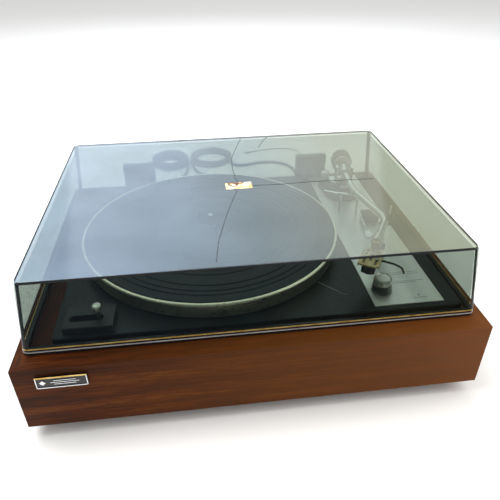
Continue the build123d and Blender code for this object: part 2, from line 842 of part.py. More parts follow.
lever_side = cue_x - cue_half - 2.0
with BuildPart() as cue_lever:
    with Locations((lever_side + 4.4, cue_y, cue_axis_z)):
        Cylinder(2.0, 10.0, rotation=(0, 90, 0))
    with Locations((lever_side, cue_y, cue_axis_z)):
        Cylinder(3.6, 3.0, rotation=(0, 90, 0))
    with BuildLine() as rod_line:
        FilletPolyline(
            (lever_side, cue_y - 1, cue_axis_z),
            (lever_side - 2, cue_y - 22, cue_axis_z + 1.0),
            (153.0, -24.0, 109.5),
            radius=(30,),
        )
    with BuildSketch(Plane(origin=rod_line.line @ 0, z_dir=rod_line.line % 0)):
        Circle(1.3)
    sweep(path=rod_line.line)
    grip = Plane(origin=rod_line.line @ 1, z_dir=rod_line.line % 1, x_dir=(1, 0, 0))
    with BuildSketch(grip):
        RectangleRounded(8.5, 4.0, 1.2)
    extrude(amount=13)
finish(cue_lever.part, "cue_lever")

rail_top = arm_z - tube_r - 0.3
with BuildPart() as lift_rail:
    with BuildSketch(Plane.XY.offset(rail_top - 2.0)):
        with BuildLine():
            CenterArc((pivot_x, pivot_y), rail_reach + 1.8, -130, 44)
            CenterArc((pivot_x, pivot_y), rail_reach - 1.8, -130, 44)
            for a in (-130, -86):
                ray = (math.cos(math.radians(a)), math.sin(math.radians(a)))
                Line(
                    (pivot_x + (rail_reach - 1.8) * ray[0], pivot_y + (rail_reach - 1.8) * ray[1]),
                    (pivot_x + (rail_reach + 1.8) * ray[0], pivot_y + (rail_reach + 1.8) * ray[1]),
                )
        make_face()
    extrude(amount=2.0)
    for x, y in zip(rail_post_x, rail_post_y):
        with Locations((x, y, (78 + rail_top - 1.9) / 2)):
            Cylinder(rail_post_r, rail_top - 1.9 - 78)
finish(lift_rail.part, "lift_rail")

rest_x = 163.4
rest_y = -42.0
rest_wall_x = rest_x + tube_r + 0.5
clip_z = arm_z + tube_r + 1.4
with BuildPart() as arm_rest:
    with BuildSketch(Plane.XY.offset(plate_top)):
        with Locations((rest_x, rest_y)):
            Circle(6)
    extrude(amount=3)
    with BuildSketch(Plane.XY.offset(plate_top)):
        with Locations((rest_x, rest_y)):
            Circle(2.6)
    extrude(amount=arm_z - tube_r - 2.4 - plate_top)
    with BuildSketch(Plane.XZ.offset(-rest_y - 3)):
        with BuildLine():
            Polyline(
                (rest_x - 5.0, arm_z - tube_r - 2.6),
                (rest_wall_x + 2.4, arm_z - tube_r - 2.6),
                (rest_wall_x + 2.4, clip_z - 1.6),
                (rest_wall_x, clip_z - 1.6),
                (rest_wall_x, arm_z - tube_r - 0.3),
                (rest_x - 5.0, arm_z - tube_r - 0.3),
                close=True,
            )
        make_face()
    extrude(amount=6)
    for side in (-1, 1):
        with Locations((rest_wall_x + 1.2, rest_y + side * 2.35, clip_z)):
            Box(2.4, 1.3, 3.4)
finish(arm_rest.part, "arm_rest")

with BuildPart() as rest_clip:
    with Locations((rest_wall_x + 1.2, rest_y, clip_z)):
        Cylinder(0.7, 3.2, rotation=(90, 0, 0))
    with Locations((rest_wall_x + 1.2, rest_y, clip_z + 5.5)):
        Box(1.2, 3.0, 12.0)
finish(rest_clip.part, "rest_clip")

# ---- Dust cover, rim and hinges ------------------------------------------------------
lean_angle = math.degrees(math.atan(cover_lean / cover_h))
cover_w = cover_right - cover_left
cover_d = cover_back - cover_front
cover_cx = (cover_left + cover_right) / 2
cover_cy = (cover_front + cover_back) / 2
rim_low = plinth_top + rim_gap
rim_high = plinth_top + rim_gap + rim_h
cover_top = plinth_top + cover_h


def cover_inset(z):
    """How far the leaning walls stand in at height z."""
    return (z - plinth_top) * cover_lean / cover_h


with BuildPart() as dust_cover:
    inset = cover_inset(rim_high)
    with BuildSketch(Plane.XY.offset(rim_high)):
        with Locations((cover_cx, cover_cy)):
            RectangleRounded(cover_w - 2 * inset, cover_d - 2 * inset, 6.0)
    extrude(amount=cover_top - rim_high, taper=lean_angle)
    fillet(dust_cover.edges().group_by(Axis.Z)[-1], 1.2)
    with BuildSketch(Plane.XY.offset(rim_high)):
        with Locations((cover_cx, cover_cy)):
            RectangleRounded(
                cover_w - 2 * inset - 2 * cover_wall, cover_d - 2 * inset - 2 * cover_wall, 3.2
            )
    extrude(amount=cover_top - cover_wall - rim_high, taper=lean_angle, mode=Mode.SUBTRACT)
finish(dust_cover.part, "dust_cover")

rim_w = 4.6
with BuildPart() as cover_rim:
    inset = cover_inset(rim_low)
    with BuildSketch(Plane.XY.offset(rim_low)):
        with Locations((cover_cx, cover_cy)):
            RectangleRounded(cover_w - 2 * inset, cover_d - 2 * inset, 6.0)
    extrude(amount=rim_h, taper=lean_angle)
    with BuildSketch(Plane.XY.offset(rim_low)):
        with Locations((cover_cx, cover_cy)):
            RectangleRounded(cover_w - 2 * inset - 2 * rim_w, cover_d - 2 * inset - 2 * rim_w, 2.5)
    extrude(amount=rim_h, mode=Mode.SUBTRACT)
finish(cover_rim.part, "cover_rim")

holder_low = rim_low + 0.9
holder_back = hinge_y + 0.6
notch_half = 12.0
notch_top = hinge_z + 8.0
tongue_half = 5.0
knuckle_r = 3.9
ear_in = 5.3
ear_out = 11.0


def wall_back(z):
    return cover_back - cover_inset(z)


with BuildPart() as hinge_holders:
    for x in hinge_x:
        high = holder_low + holder_h
        with BuildSketch(Plane.YZ.offset(x - holder_w / 2)) as side_face:
            with BuildLine():
                Polyline(
                    (wall_back(holder_low), holder_low),
                    (holder_back, holder_low),
                    (holder_back, high - 2.5),
                    (holder_back - 2.5, high),
                    (wall_back(high), high),
                    close=True,
                )
            make_face()
        extrude(side_face.sketch, amount=holder_w)
        with Locations((x, hinge_y, (notch_top + holder_low) / 2 - 1)):
            Box(2 * notch_half, 24, notch_top - holder_low + 2, mode=Mode.SUBTRACT)
        with Locations((x, hinge_y, hinge_z)):
            Cylinder(knuckle_r, 2 * tongue_half, rotation=(0, 90, 0))
        with Locations((x, holder_back - 2.6, (hinge_z + notch_top + 2) / 2)):
            Box(2 * tongue_half, 5.2, notch_top + 2 - hinge_z)
        with Locations((x, hinge_y, hinge_z)):
            Cylinder(pin_r + running_gap, 40, rotation=(0, 90, 0), mode=Mode.SUBTRACT)
finish(hinge_holders.part, "hinge_holders")

with BuildPart() as hinge_pins:
    for x in hinge_x:
        with Locations((x, hinge_y, hinge_z)):
            Cylinder(pin_r, 2 * ear_out + 0.8, rotation=(0, 90, 0))
finish(hinge_pins.part, "hinge_pins")

plate_half = 20.0
hinge_plate_t = 1.2
hinge_plate_low = 58.0
rear_face = plinth_d / 2
hinge_screw_spots = ((-13.0, 66.0), (13.0, 66.0), (0.0, 80.0))
with BuildPart() as hinge_bases:
    for x in hinge_x:
        with BuildSketch(Plane.XZ.offset(-rear_face)) as back_plate:
            with Locations((x, (hinge_plate_low + plinth_top - 1) / 2)):
                RectangleRounded(2 * plate_half, plinth_top - 1 - hinge_plate_low, 3.0)
            for dx, z in hinge_screw_spots:
                with Locations((x + dx, z)):
                    Circle(1.8, mode=Mode.SUBTRACT)
        extrude(back_plate.sketch, amount=-hinge_plate_t)
        for side in (-1, 1):
            low_x = x + (ear_in if side > 0 else -ear_out)
            with BuildSketch(Plane.YZ.offset(low_x)) as ear:
                with BuildLine():
                    Polyline(
                        (hinge_y - 3.6, plinth_top + 0.3),
                        (rear_face, plinth_top + 0.3),
                        (rear_face, plinth_top - 4),
                        (rear_face + hinge_plate_t, plinth_top - 4),
                        (rear_face + hinge_plate_t, hinge_z + 1.0),
                        (hinge_y + 3.4, hinge_z + 4.2),
                        (hinge_y - 3.6, hinge_z + 4.2),
                        close=True,
                    )
                make_face()
            extrude(ear.sketch, amount=ear_out - ear_in)
        with Locations((x, hinge_y, hinge_z)):
            Cylinder(pin_r + 0.01, 40, rotation=(0, 90, 0), mode=Mode.SUBTRACT)
finish(hinge_bases.part, "hinge_bases")

screw_shank = 12.0
with BuildPart() as hinge_screws:
    for x in hinge_x:
        for dx, z in hinge_screw_spots:
            with BuildSketch(Plane.XZ.offset(-rear_face - hinge_plate_t)) as head:
                with Locations((x + dx, z)):
                    Circle(3.1)
            extrude(head.sketch, amount=-(trim_proud - hinge_plate_t))
            with BuildSketch(Plane.XZ.offset(-rear_face - hinge_plate_t)) as shank:
                with Locations((x + dx, z)):
                    Circle(1.6)
            extrude(shank.sketch, amount=screw_shank)
finish(hinge_screws.part, "hinge_screws")

# ---- Cords ------------------------------------------------------------------------------
collar_r = 8.5
collar_t = 2.5
signal_exit_y = 205.0
earth_exit_y = 193.0
relief_end = {
    mains_x: (mains_r + 1.0, lead_exit_y),
    signal_x: (signal_r + 0.8, signal_exit_y),
    earth_x: (2.4, earth_exit_y),
}
with BuildPart() as lead_glands:
    for x, (end_r, end_y) in relief_end.items():
        with BuildSketch(Plane.XZ.offset(-rear_face + wall_t)) as body:
            with Locations((x, exit_z)):
                Circle(gland_r)
        extrude(body.sketch, amount=-wall_t)
        with BuildSketch(Plane.XZ.offset(-rear_face)) as ring:
            with Locations((x, exit_z)):
                Circle(collar_r)
        extrude(ring.sketch, amount=-collar_t)
        with BuildSketch(Plane.XZ.offset(-rear_face - collar_t)) as root:
            with Locations((x, exit_z)):
                Circle(end_r + 1.6)
        with BuildSketch(Plane.XZ.offset(-end_y)) as tip:
            with Locations((x, exit_z)):
                Circle(end_r)
        loft([root.sketch.face(), tip.sketch.face()])
finish(lead_glands.part, "lead_glands")

coil_x = -98.0
coil_y = 478.0
coil_mid_r = 29.0
plug_z = 8.0

mains_route = [
    (mains_x, lead_exit_y, exit_z),
    (mains_x, 243.0, 35.0),
    (-151.0, 270.0, 17.0),
    (-153.0, 301.0, mains_r),
    (-156.0, 346.0, mains_r),
    (-149.0, 391.0, mains_r),
    (-136.0, 430.0, mains_r),
    (-133.5, 468.0, mains_r),
]
tail_route = [
    (-62.0, 474.0, mains_r),
    (-62.5, 447.0, mains_r),
    (-66.0, 420.0, mains_r),
    (-74.0, 394.0, 5.0),
    (-86.0, 371.0, plug_z),
]
signal_end_z = 6.0
signal_coil_x = -12.0
signal_coil_y = 488.0
signal_mid_r = 38.0
signal_route = [
    (signal_x, signal_exit_y, exit_z),
    (signal_x, 233.0, 35.5),
    (147.0, 261.0, 18.5),
    (149.0, 293.0, signal_r),
    (153.0, 340.0, signal_r),
    (155.0, 390.0, signal_r),
    (147.0, 434.0, signal_r),
    (119.0, 452.0, signal_r),
    (84.0, 454.0, signal_r),
    (56.0, 442.0, signal_r),
    (33.0, 447.0, signal_r),
    (28.5, 469.0, signal_r),
]
signal_tail = [
    (-50.5, 484.0, signal_r),
    (-51.5, 457.0, signal_r),
    (-46.0, 430.0, signal_r),
    (-34.0, 408.0, 4.0),
    (-21.0, 384.0, signal_end_z),
]
earth_coil_x = 192.0
earth_coil_y = 350.0
earth_mid_r = 12.0
earth_turn_x = earth_coil_x - earth_mid_r
earth_route = [
    (earth_x, earth_exit_y, exit_z),
    (earth_x, 212.0, 38.0),
    (173.0, 232.0, 27.0),
    (174.0, 253.0, 12.0),
    (175.0, 279.0, earth_r),
    (178.0, 311.0, earth_r),
    (earth_turn_x, 342.5, earth_r),
]
earth_tail = [
    (earth_turn_x, 357.5, earth_r),
    (178.0, 386.0, earth_r),
    (174.0, 424.0, earth_r),
    (178.0, 463.0, earth_r),
    (186.0, 494.0, earth_r),
    (177.0, 520.0, earth_r),
    (148.0, 531.0, earth_r),
    (112.0, 528.0, earth_r),
    (78.0, 517.0, earth_r + 0.6),
]


def corner_radii(route):
    """Each corner's radius: 0.45 of the shorter run over the tangent of half the turn."""
    points = [Vector(*p) for p in route]
    radii = []
    for before, here, after in zip(points, points[1:], points[2:]):
        turn = (here - before).get_angle(after - here)
        short = min((here - before).length, (after - here).length)
        radii.append(0.45 * short / math.tan(math.radians(turn) / 2))
    return radii


def cord_tube(route, radius, name):
    """A round tube of straight runs joined by tangent arcs."""
    radii = corner_radii(route)
    with BuildPart() as tube:
        with BuildLine() as line:
            FilletPolyline(*route, radius=radii)
        with BuildSketch(Plane(origin=line.line @ 0, z_dir=line.line % 0)) as section:
            Circle(radius)
        sweep(section.sketch, path=line.line)
    length = sum(edge.length for edge in line.edges())
    share = tube.part.volume / (math.pi * radius**2 * length)
    print(name, "length", round(length, 1), "volume share", round(share, 4))
    print("   radii", [round(r, 1) for r in radii])
    return tube.part


def cord_node(first, last, radius, name):
    stretches = [cord_tube(first, radius, name), cord_tube(last, radius, name + " tail")]
    finish(Compound(children=stretches), name)


def coil_ring(x, y, mid_r, cord_r, rows, name):
    """The outer shape of a coil that lies flat, rows cords wide and rows cords high."""
    with BuildPart() as ring:
        with BuildSketch() as outline:
            with Locations((x, y)):
                Circle(mid_r + rows * cord_r)
                Circle(mid_r - rows * cord_r, mode=Mode.SUBTRACT)
        extrude(outline.sketch, amount=2 * rows * cord_r)
    finish(ring.part, name)


cord_node(mains_route, tail_route, mains_r, "mains_lead")
cord_node(signal_route, signal_tail, signal_r, "signal_lead")
cord_node(earth_route, earth_tail, earth_r, "earth_wire")
coil_ring(coil_x, coil_y, coil_mid_r, mains_r, 3, "mains_coil")
coil_ring(signal_coil_x, signal_coil_y, signal_mid_r, signal_r, 2, "signal_coil")
coil_ring(earth_coil_x, earth_coil_y, earth_mid_r, earth_r, 3, "earth_coil")


def lay_along(route):
    """A plane at the route's end, looking along its last run in the horizontal."""
    x0, y0, _ = route[-2]
    x1, y1, _ = route[-1]
    run = math.hypot(x1 - x0, y1 - y0)
    head_x, head_y = (x1 - x0) / run, (y1 - y0) / run
    return Plane(origin=route[-1], z_dir=(head_x, head_y, 0), x_dir=(head_y, -head_x, 0))


plug_plane = lay_along(tail_route)
pin_gap = 12.7
with BuildPart() as mains_plug:
    with BuildSketch(plug_plane.offset(-0.5)) as neck:
        Circle(4.6)
    extrude(neck.sketch, amount=10)
    with BuildSketch(plug_plane.offset(9)) as grip_end:
        RectangleRounded(17, 12, 4)
    with BuildSketch(plug_plane.offset(33)) as face_end:
        RectangleRounded(26, 14, 4)
    loft([grip_end.sketch.face(), face_end.sketch.face()])
    for side in (-1, 1):
        with BuildSketch(plug_plane.offset(33)) as blade:
            with Locations((side * pin_gap / 2, 0)):
                Rectangle(1.5, 6.3)
        extrude(blade.sketch, amount=17)
finish(mains_plug.part, "mains_plug")

yoke_plane = lay_along(signal_tail)
phono_out = 6.6
phono_steps = [(10.5, 3.0, 7.5), (18.0, 5.8, 16.0), (34.0, 4.6, 7.5), (41.5, 1.6, 8.0)]
with BuildPart() as signal_plugs:
    with BuildSketch(yoke_plane.offset(-0.5)) as split_in:
        RectangleRounded(9, 8, 2.5)
    with BuildSketch(yoke_plane.offset(11)) as split_out:
        RectangleRounded(20, 8, 2.5)
    loft([split_in.sketch.face(), split_out.sketch.face()])
    for side in (-1, 1):
        for start, radius, length in phono_steps:
            with BuildSketch(yoke_plane.offset(start)) as step:
                with Locations((side * phono_out, 0)):
                    Circle(radius)
            extrude(step.sketch, amount=length)

lug_plane = lay_along(earth_tail)
lug_base = lug_plane.origin - Vector(0, 0, 0.5)
with BuildPart() as earth_lug:
    with BuildSketch(lug_plane.offset(-5)) as barrel:
        Circle(1.5)
    extrude(barrel.sketch, amount=8)
    with BuildSketch(Plane(origin=lug_base, x_dir=lug_plane.z_dir, z_dir=(0, 0, 1))) as blade:
        with Locations((8.5, 0)):
            RectangleRounded(13, 8, 1.5)
        with Locations((12, 0)):
            Rectangle(8, 3.6, mode=Mode.SUBTRACT)
    extrude(blade.sketch, amount=0.8)
finish(Compound(children=[signal_plugs.part, earth_lug.part]), "lead_connectors")
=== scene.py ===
import math

import bmesh
import bpy
from mathutils import Matrix, Vector


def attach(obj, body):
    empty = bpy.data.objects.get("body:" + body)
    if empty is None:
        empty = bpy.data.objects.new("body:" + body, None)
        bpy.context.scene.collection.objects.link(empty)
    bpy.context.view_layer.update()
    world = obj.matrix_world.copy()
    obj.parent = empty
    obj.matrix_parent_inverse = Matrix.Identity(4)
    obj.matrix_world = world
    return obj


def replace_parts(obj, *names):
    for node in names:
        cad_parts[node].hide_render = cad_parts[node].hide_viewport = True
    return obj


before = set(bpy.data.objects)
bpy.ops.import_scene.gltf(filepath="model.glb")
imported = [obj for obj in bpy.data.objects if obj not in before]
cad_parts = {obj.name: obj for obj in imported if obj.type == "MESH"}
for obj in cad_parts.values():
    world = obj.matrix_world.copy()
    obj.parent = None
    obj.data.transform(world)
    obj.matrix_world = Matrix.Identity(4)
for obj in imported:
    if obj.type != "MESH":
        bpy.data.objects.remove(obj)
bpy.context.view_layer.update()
mm = 0.001

# The camera is held above the front edge, a little to the left.
cameraSetup = {
    "place": (-0.052583, -0.525858, 0.426998),
    "right": (0.992120, -0.125131, -0.006338),
    "up": (0.073611, 0.541212, 0.837658),
    "ahead": (0.101387, 0.831524, -0.546158),
    "lens": 36.14,
}


def makeCamera(setup):
    data = bpy.data.cameras.new("camera")
    data.sensor_width = 36
    data.lens = setup["lens"]
    data.clip_start = 0.02
    data.clip_end = 20
    camera = bpy.data.objects.new("camera", data)
    bpy.context.scene.collection.objects.link(camera)
    right, up, ahead = (Vector(setup[k]) for k in ("right", "up", "ahead"))
    turn = Matrix((right, up, -ahead)).transposed().to_4x4()
    camera.matrix_world = Matrix.Translation(setup["place"]) @ turn
    bpy.context.scene.camera = camera


makeCamera(cameraSetup)
print("camera placed")


def linearColour(code):
    channels = [int(code[i:i + 2], 16) / 255 for i in (1, 3, 5)]
    return (*(c / 12.92 if c <= 0.04045 else ((c + 0.055) / 1.055) ** 2.4 for c in channels), 1.0)


def addNode(tree, kind, inputs=None, stops=None, **settings):
    # Adds a node, with its settings, its input values or links, and a ramp's stops.
    node = tree.nodes.new("ShaderNode" + kind)
    for key, value in settings.items():
        setattr(node, key, value)
    for key, value in (inputs or {}).items():
        if isinstance(value, bpy.types.NodeSocket):
            tree.links.new(value, node.inputs[key])
        else:
            node.inputs[key].default_value = linearColour(value) if isinstance(value, str) else value
    if stops:
        while len(node.color_ramp.elements) < len(stops):
            node.color_ramp.elements.new(0.5)
        for element, (place, code) in zip(node.color_ramp.elements, stops):
            element.position = place
            element.color = linearColour(code)
    return node


def newMaterial(name, **values):
    # Even values go straight onto the shader's own sockets.
    material = bpy.data.materials.new(name)
    material.use_nodes = True
    shader = material.node_tree.nodes["Principled BSDF"]
    for key, value in values.items():
        socket = shader.inputs[key.replace("_", " ")]
        socket.default_value = linearColour(value) if isinstance(value, str) else value
    return material, material.node_tree, shader


def finishOf(name, tones, patch, grain, rough, relief, stretch=(1, 1, 1), **values):
    # Two tones in patches, and a finer grain that varies the roughness and gives a low relief.
    # patch, grain and relief are in millimetres; stretch draws the grain out along the piece.
    material, tree, shader = newMaterial(name, **values)
    place = addNode(tree, "TexCoord")
    drawn = addNode(tree, "Mapping", {"Vector": place.outputs["Object"], "Scale": stretch})
    patches = addNode(tree, "TexNoise", {
        "Vector": drawn.outputs[0], "Scale": 1 / (patch * mm), "Detail": 4,
    })
    grains = addNode(tree, "TexNoise", {
        "Vector": drawn.outputs[0], "Scale": 1 / (grain * mm), "Detail": 2,
    })
    tone = addNode(tree, "ValToRGB", {"Fac": patches.outputs["Fac"]},
                   stops=[(0.34, tones[0]), (0.68, tones[1])])
    gloss = addNode(tree, "MapRange", {
        "Value": grains.outputs["Fac"], "From Min": 0.3, "From Max": 0.7,
        "To Min": rough[0], "To Max": rough[1],
    })
    raised = addNode(tree, "Bump", {"Height": grains.outputs["Fac"], "Distance": relief * mm})
    tree.links.new(tone.outputs["Color"], shader.inputs["Base Color"])
    tree.links.new(gloss.outputs[0], shader.inputs["Roughness"])
    tree.links.new(raised.outputs["Normal"], shader.inputs["Normal"])
    return material


def paint(material, *nodes):
    for name in nodes:
        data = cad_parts[name].data
        data.materials.clear()
        data.materials.append(material)


def finishPiece(name, mesh, materials, body, smooth=35):
    # Turns the bmesh into an object at the origin that rides on a body.
    data = bpy.data.meshes.new(name)
    mesh.to_mesh(data)
    mesh.free()
    for material in materials:
        data.materials.append(material)
    data.shade_smooth()
    data.set_sharp_from_angle(angle=math.radians(smooth))
    piece = bpy.data.objects.new(name, data)
    bpy.context.scene.collection.objects.link(piece)
    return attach(piece, body)


# Soft PVC, extruded: a smooth satin skin with faint dust.
blackPvc = finishOf("blackPvcJacket", ("#17181a", "#2b2c2f"), 12, 1.5, (0.36, 0.55), 0.08, IOR=1.52)
greyPvc = finishOf("greyPvcJacket", ("#2f2f33", "#46464b"), 12, 1.5, (0.38, 0.58), 0.08, IOR=1.52)
# Woven nylon: matt, with a coarse thread that just shows.
nylonStrap = finishOf("wovenNylonStrap", ("#101012", "#232326"), 3, 0.7, (0.7, 0.9), 0.2, Sheen_Weight=0.3)

mainsCord = {
    "radius": 2.75,
    "coil": {"centre": (-98, 478), "middle": 29, "rows": 3, "turns": 7.5, "start": math.pi, "spin": -1},
    "out": [
        (-150, 215, 40), (-150, 243, 35), (-151, 270, 17), (-153, 301, 2.75), (-156, 346, 2.75),
        (-149, 391, 2.75), (-136, 430, 2.75), (-133.5, 468, 2.75),
    ],
    "end": [(-61.5, 474, 12), (-61.5, 450, 5), (-66, 420, 2.75), (-74, 394, 5), (-86, 371, 8)],
}
signalCord = {
    "radius": 3.0,
    "coil": {"centre": (-12, 488), "middle": 38, "rows": 2, "turns": 3.5, "start": 0, "spin": 1},
    "out": [
        (146, 205, 40), (146, 233, 35.5), (147, 262, 18), (149, 293, 3), (153, 340, 3), (155, 390, 3),
        (147, 434, 3), (119, 452, 3), (84, 454, 3), (56, 442, 3), (33, 447, 3), (28.5, 469, 3),
    ],
    "end": [(-53, 484, 8.5), (-52.5, 460, 4), (-46, 430, 3), (-34, 408, 4), (-21, 384, 6)],
}
earthCord = {
    "radius": 1.0,
    "coil": {"centre": (192, 350), "middle": 12, "rows": 3, "turns": 8, "start": math.pi, "spin": -1},
    "out": [
        (172, 193, 40), (172, 212, 38), (173, 232, 27), (174, 253, 12), (175, 279, 1), (178, 311, 1),
        (180, 342.5, 1),
    ],
    "end": [
        (178.5, 359, 5.5), (178, 386, 1), (174, 424, 1), (178, 463, 1), (186, 494, 1), (177, 520, 1),
        (148, 531, 1), (112, 528, 1), (78, 517, 1.6),
    ],
}


def coilPoints(coil, cordRadius, perTurn=16):
    # Turns lie in layers: the lowest winds inwards, the next back out on top of it. In millimetres.
    step = 2 * cordRadius * 1.01
    rows = coil["rows"]
    order = []
    for layer in range(rows):
        columns = list(range(rows))
        order += [(c, layer) for c in (columns if layer % 2 == 0 else columns[::-1])]
    inside = math.cos(math.pi / perTurn)  # the smooth line cuts inside its control points
    made = []
    for i in range(1, int(coil["turns"] * perTurn)):
        turn, within = divmod(i / perTurn, 1)
        here, following = order[int(turn)], order[min(int(turn) + 1, len(order) - 1)]
        shift = max(0.0, (within - 0.75) / 0.25)
        column, layer = (a + (b - a) * shift for a, b in zip(here, following))
        radius = (coil["middle"] + ((rows - 1) / 2 - column) * step) / inside
        angle = coil["start"] + coil["spin"] * 2 * math.pi * i / perTurn
        x, y = coil["centre"]
        made.append((x + radius * math.cos(angle), y + radius * math.sin(angle), cordRadius + layer * step))
    return made


def makeCord(name, cord, material):
    points = cord["out"] + coilPoints(cord["coil"], cord["radius"]) + cord["end"]
    curve = bpy.data.curves.new(name, "CURVE")
    curve.dimensions = "3D"
    spline = curve.splines.new("NURBS")
    spline.points.add(len(points) - 1)
    for point, place in zip(spline.points, points):
        point.co = (*(c * mm for c in place), 1)
    spline.order_u = 3
    spline.use_endpoint_u = True
    spline.resolution_u = 6
    curve.bevel_depth = cord["radius"] * mm
    curve.bevel_resolution = 5
    curve.use_fill_caps = True
    curve.materials.append(material)
    piece = bpy.data.objects.new(name, curve)
    bpy.context.scene.collection.objects.link(piece)
    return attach(piece, "plinth")


def coilTie(name, cord, angle, width):
    # A flat strap round the coil's whole section, at one place on the ring.
    coil = cord["coil"]
    half = coil["rows"] * cord["radius"] * mm
    strap = 0.7 * mm
    mesh = bmesh.new()
    bmesh.ops.create_grid(mesh, x_segments=1, y_segments=1, size=half + 0.2 * mm)
    bmesh.ops.bevel(
        mesh, geom=mesh.verts[:], offset=half * 0.4, segments=5, profile=0.5, affect="VERTICES", material=-1
    )
    rim = mesh.edges[:]
    bmesh.ops.delete(mesh, geom=mesh.faces[:], context="FACES_ONLY")
    grown = bmesh.ops.extrude_edge_only(mesh, edges=rim)["geom"]
    far = [g for g in grown if isinstance(g, bmesh.types.BMVert)]
    bmesh.ops.translate(mesh, verts=far, vec=(0, 0, width * mm))
    bmesh.ops.recalc_face_normals(mesh, faces=mesh.faces[:])
    bmesh.ops.solidify(mesh, geom=mesh.faces[:], thickness=-strap)
    centre = Vector((*coil["centre"], coil["rows"] * cord["radius"])) * mm
    place = (
        Matrix.Translation(centre)
        @ Matrix.Rotation(angle, 4, "Z")
        @ Matrix.Translation((coil["middle"] * mm, width / 2 * mm, strap + 0.2 * mm))
        @ Matrix.Rotation(math.pi / 2, 4, "X")
    )
    bmesh.ops.transform(mesh, matrix=place, verts=mesh.verts[:])
    bmesh.ops.recalc_face_normals(mesh, faces=mesh.faces[:])
    return finishPiece(name, mesh, [nylonStrap], "plinth")


mains = makeCord("mainsCord", mainsCord, blackPvc)
signal = makeCord("signalCord", signalCord, greyPvc)
earth = makeCord("earthCord", earthCord, blackPvc)
mainsTie = coilTie("mainsCoilTie", mainsCord, math.radians(60), 6)
signalTie = coilTie("signalCoilTie", signalCord, math.radians(75), 6)
earthTie = coilTie("earthCoilTie", earthCord, math.radians(20), 3)
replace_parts(mains, "mains_lead", "mains_coil")
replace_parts(signal, "signal_lead", "signal_coil")
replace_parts(earth, "earth_wire", "earth_coil")
print("cords laid")


# Walnut: widths across the grain in millimetres, and its tones from dark to light.
walnut = {
    "figure": 14, "line": 2, "pore": 0.8, "poreDepth": 0.1, "shrinkAlong": 0.045,
    "tones": [(0.36, "#190904"), (0.46, "#331508"), (0.55, "#47200b"), (0.68, "#5c3212")],
    # The last two set painted light: the lighter tone that the wood takes towards the right, and how far it goes.
    "poreTone": "#1a0b04", "paintedLitTone": "#74441a", "paintedLitShare": 0.6,
}


def walnutVeneer(name, alongX, cut):
    # Sliced walnut under satin lacquer: long wavering grain and short dark pores, with painted light: the tone
    # grows lighter towards the right, as if the light fell more on that side. Real pores are finer; these are wide
    # enough to show.
    material, tree, shader = newMaterial(name, IOR=1.5, Specular_IOR_Level=0.22, Specular_Tint="#b4743a")
    shrink = walnut["shrinkAlong"]
    along = (shrink, 1, 1) if alongX else (1, shrink, 1)
    place = addNode(tree, "TexCoord")
    moved = addNode(tree, "Mapping", {"Vector": place.outputs["Object"], "Location": cut})
    drawn = addNode(tree, "Mapping", {"Vector": moved.outputs[0], "Scale": along})
    figure, lines, pores = (
        addNode(tree, "TexNoise", {"Vector": drawn.outputs[0], "Scale": 1 / (walnut[wide] * mm), "Detail": detail})
        for wide, detail in (("figure", 4), ("line", 3), ("pore", 1))
    )
    both = addNode(tree, "Mix", {
        0: 0.45, 2: figure.outputs["Fac"], 3: lines.outputs["Fac"],
    }, data_type="FLOAT")
    tone = addNode(tree, "ValToRGB", {"Fac": both.outputs[0]}, stops=walnut["tones"])
    deep = addNode(tree, "MapRange", {
        "Value": pores.outputs["Fac"], "From Min": 0.55, "From Max": 0.66, "To Min": 0.0, "To Max": 0.8,
    })
    pored = addNode(tree, "Mix", {
        0: deep.outputs[0], 6: tone.outputs["Color"], 7: walnut["poreTone"],
    }, data_type="RGBA")
    # Painted light: towards the right the tone is mixed with a lighter one, standing in for the light falling more
    # there.
    parts = addNode(tree, "SeparateXYZ", {"Vector": place.outputs["Object"]})
    far = addNode(tree, "MapRange", {
        "Value": parts.outputs["X"], "From Min": -0.2, "From Max": 0.23, "To Min": 0.0, "To Max": walnut["paintedLitShare"],
    })
    withPaintedLight = addNode(tree, "Mix", {
        0: far.outputs[0], 6: pored.outputs[2], 7: walnut["paintedLitTone"],
    }, data_type="RGBA")
    gloss = addNode(tree, "MapRange", {
        "Value": lines.outputs["Fac"], "From Min": 0.3, "From Max": 0.7, "To Min": 0.42, "To Max": 0.6,
    })
    raised = addNode(tree, "Bump", {
        "Height": pores.outputs["Fac"], "Distance": walnut["poreDepth"] * mm, "Strength": 0.5,
    })
    tree.links.new(withPaintedLight.outputs[2], shader.inputs["Base Color"])
    tree.links.new(gloss.outputs[0], shader.inputs["Roughness"])
    tree.links.new(raised.outputs["Normal"], shader.inputs["Normal"])
    return material


# Each wall is cut from another place in the flitch, so that its grain differs.
paint(walnutVeneer("walnutVeneerFront", True, (0, 0, 0)), "plinth_front")
paint(walnutVeneer("walnutVeneerRear", True, (0.3, 0.1, 0.05)), "plinth_rear")
paint(walnutVeneer("walnutVeneerLeft", False, (0.1, 0.2, 0.02)), "plinth_left")
paint(walnutVeneer("walnutVeneerRight", False, (0.2, 0.3, 0.07)), "plinth_right")
# Sawn pine and hardboard: dry, matt and fibrous.
paint(finishOf("sawnPine", ("#b08a58", "#c8a775"), 9, 1.2, (0.7, 0.9), 0.2, stretch=(1, 1, 0.1)),
      "corner_blocks")
paint(finishOf("pressedHardboard", ("#4d3423", "#65462f"), 4, 0.6, (0.6, 0.85), 0.1), "bottom_board")
# Moulded rubber: matt and slightly dusty.
footRubber = finishOf("mouldedRubber", ("#161617", "#262627"), 8, 0.8, (0.65, 0.85), 0.06)
paint(footRubber, "motor_grommets")
paint(finishOf("groundBeltRubber", ("#1b1a19", "#272523"), 10, 0.5, (0.55, 0.75), 0.03), "drive_belt")
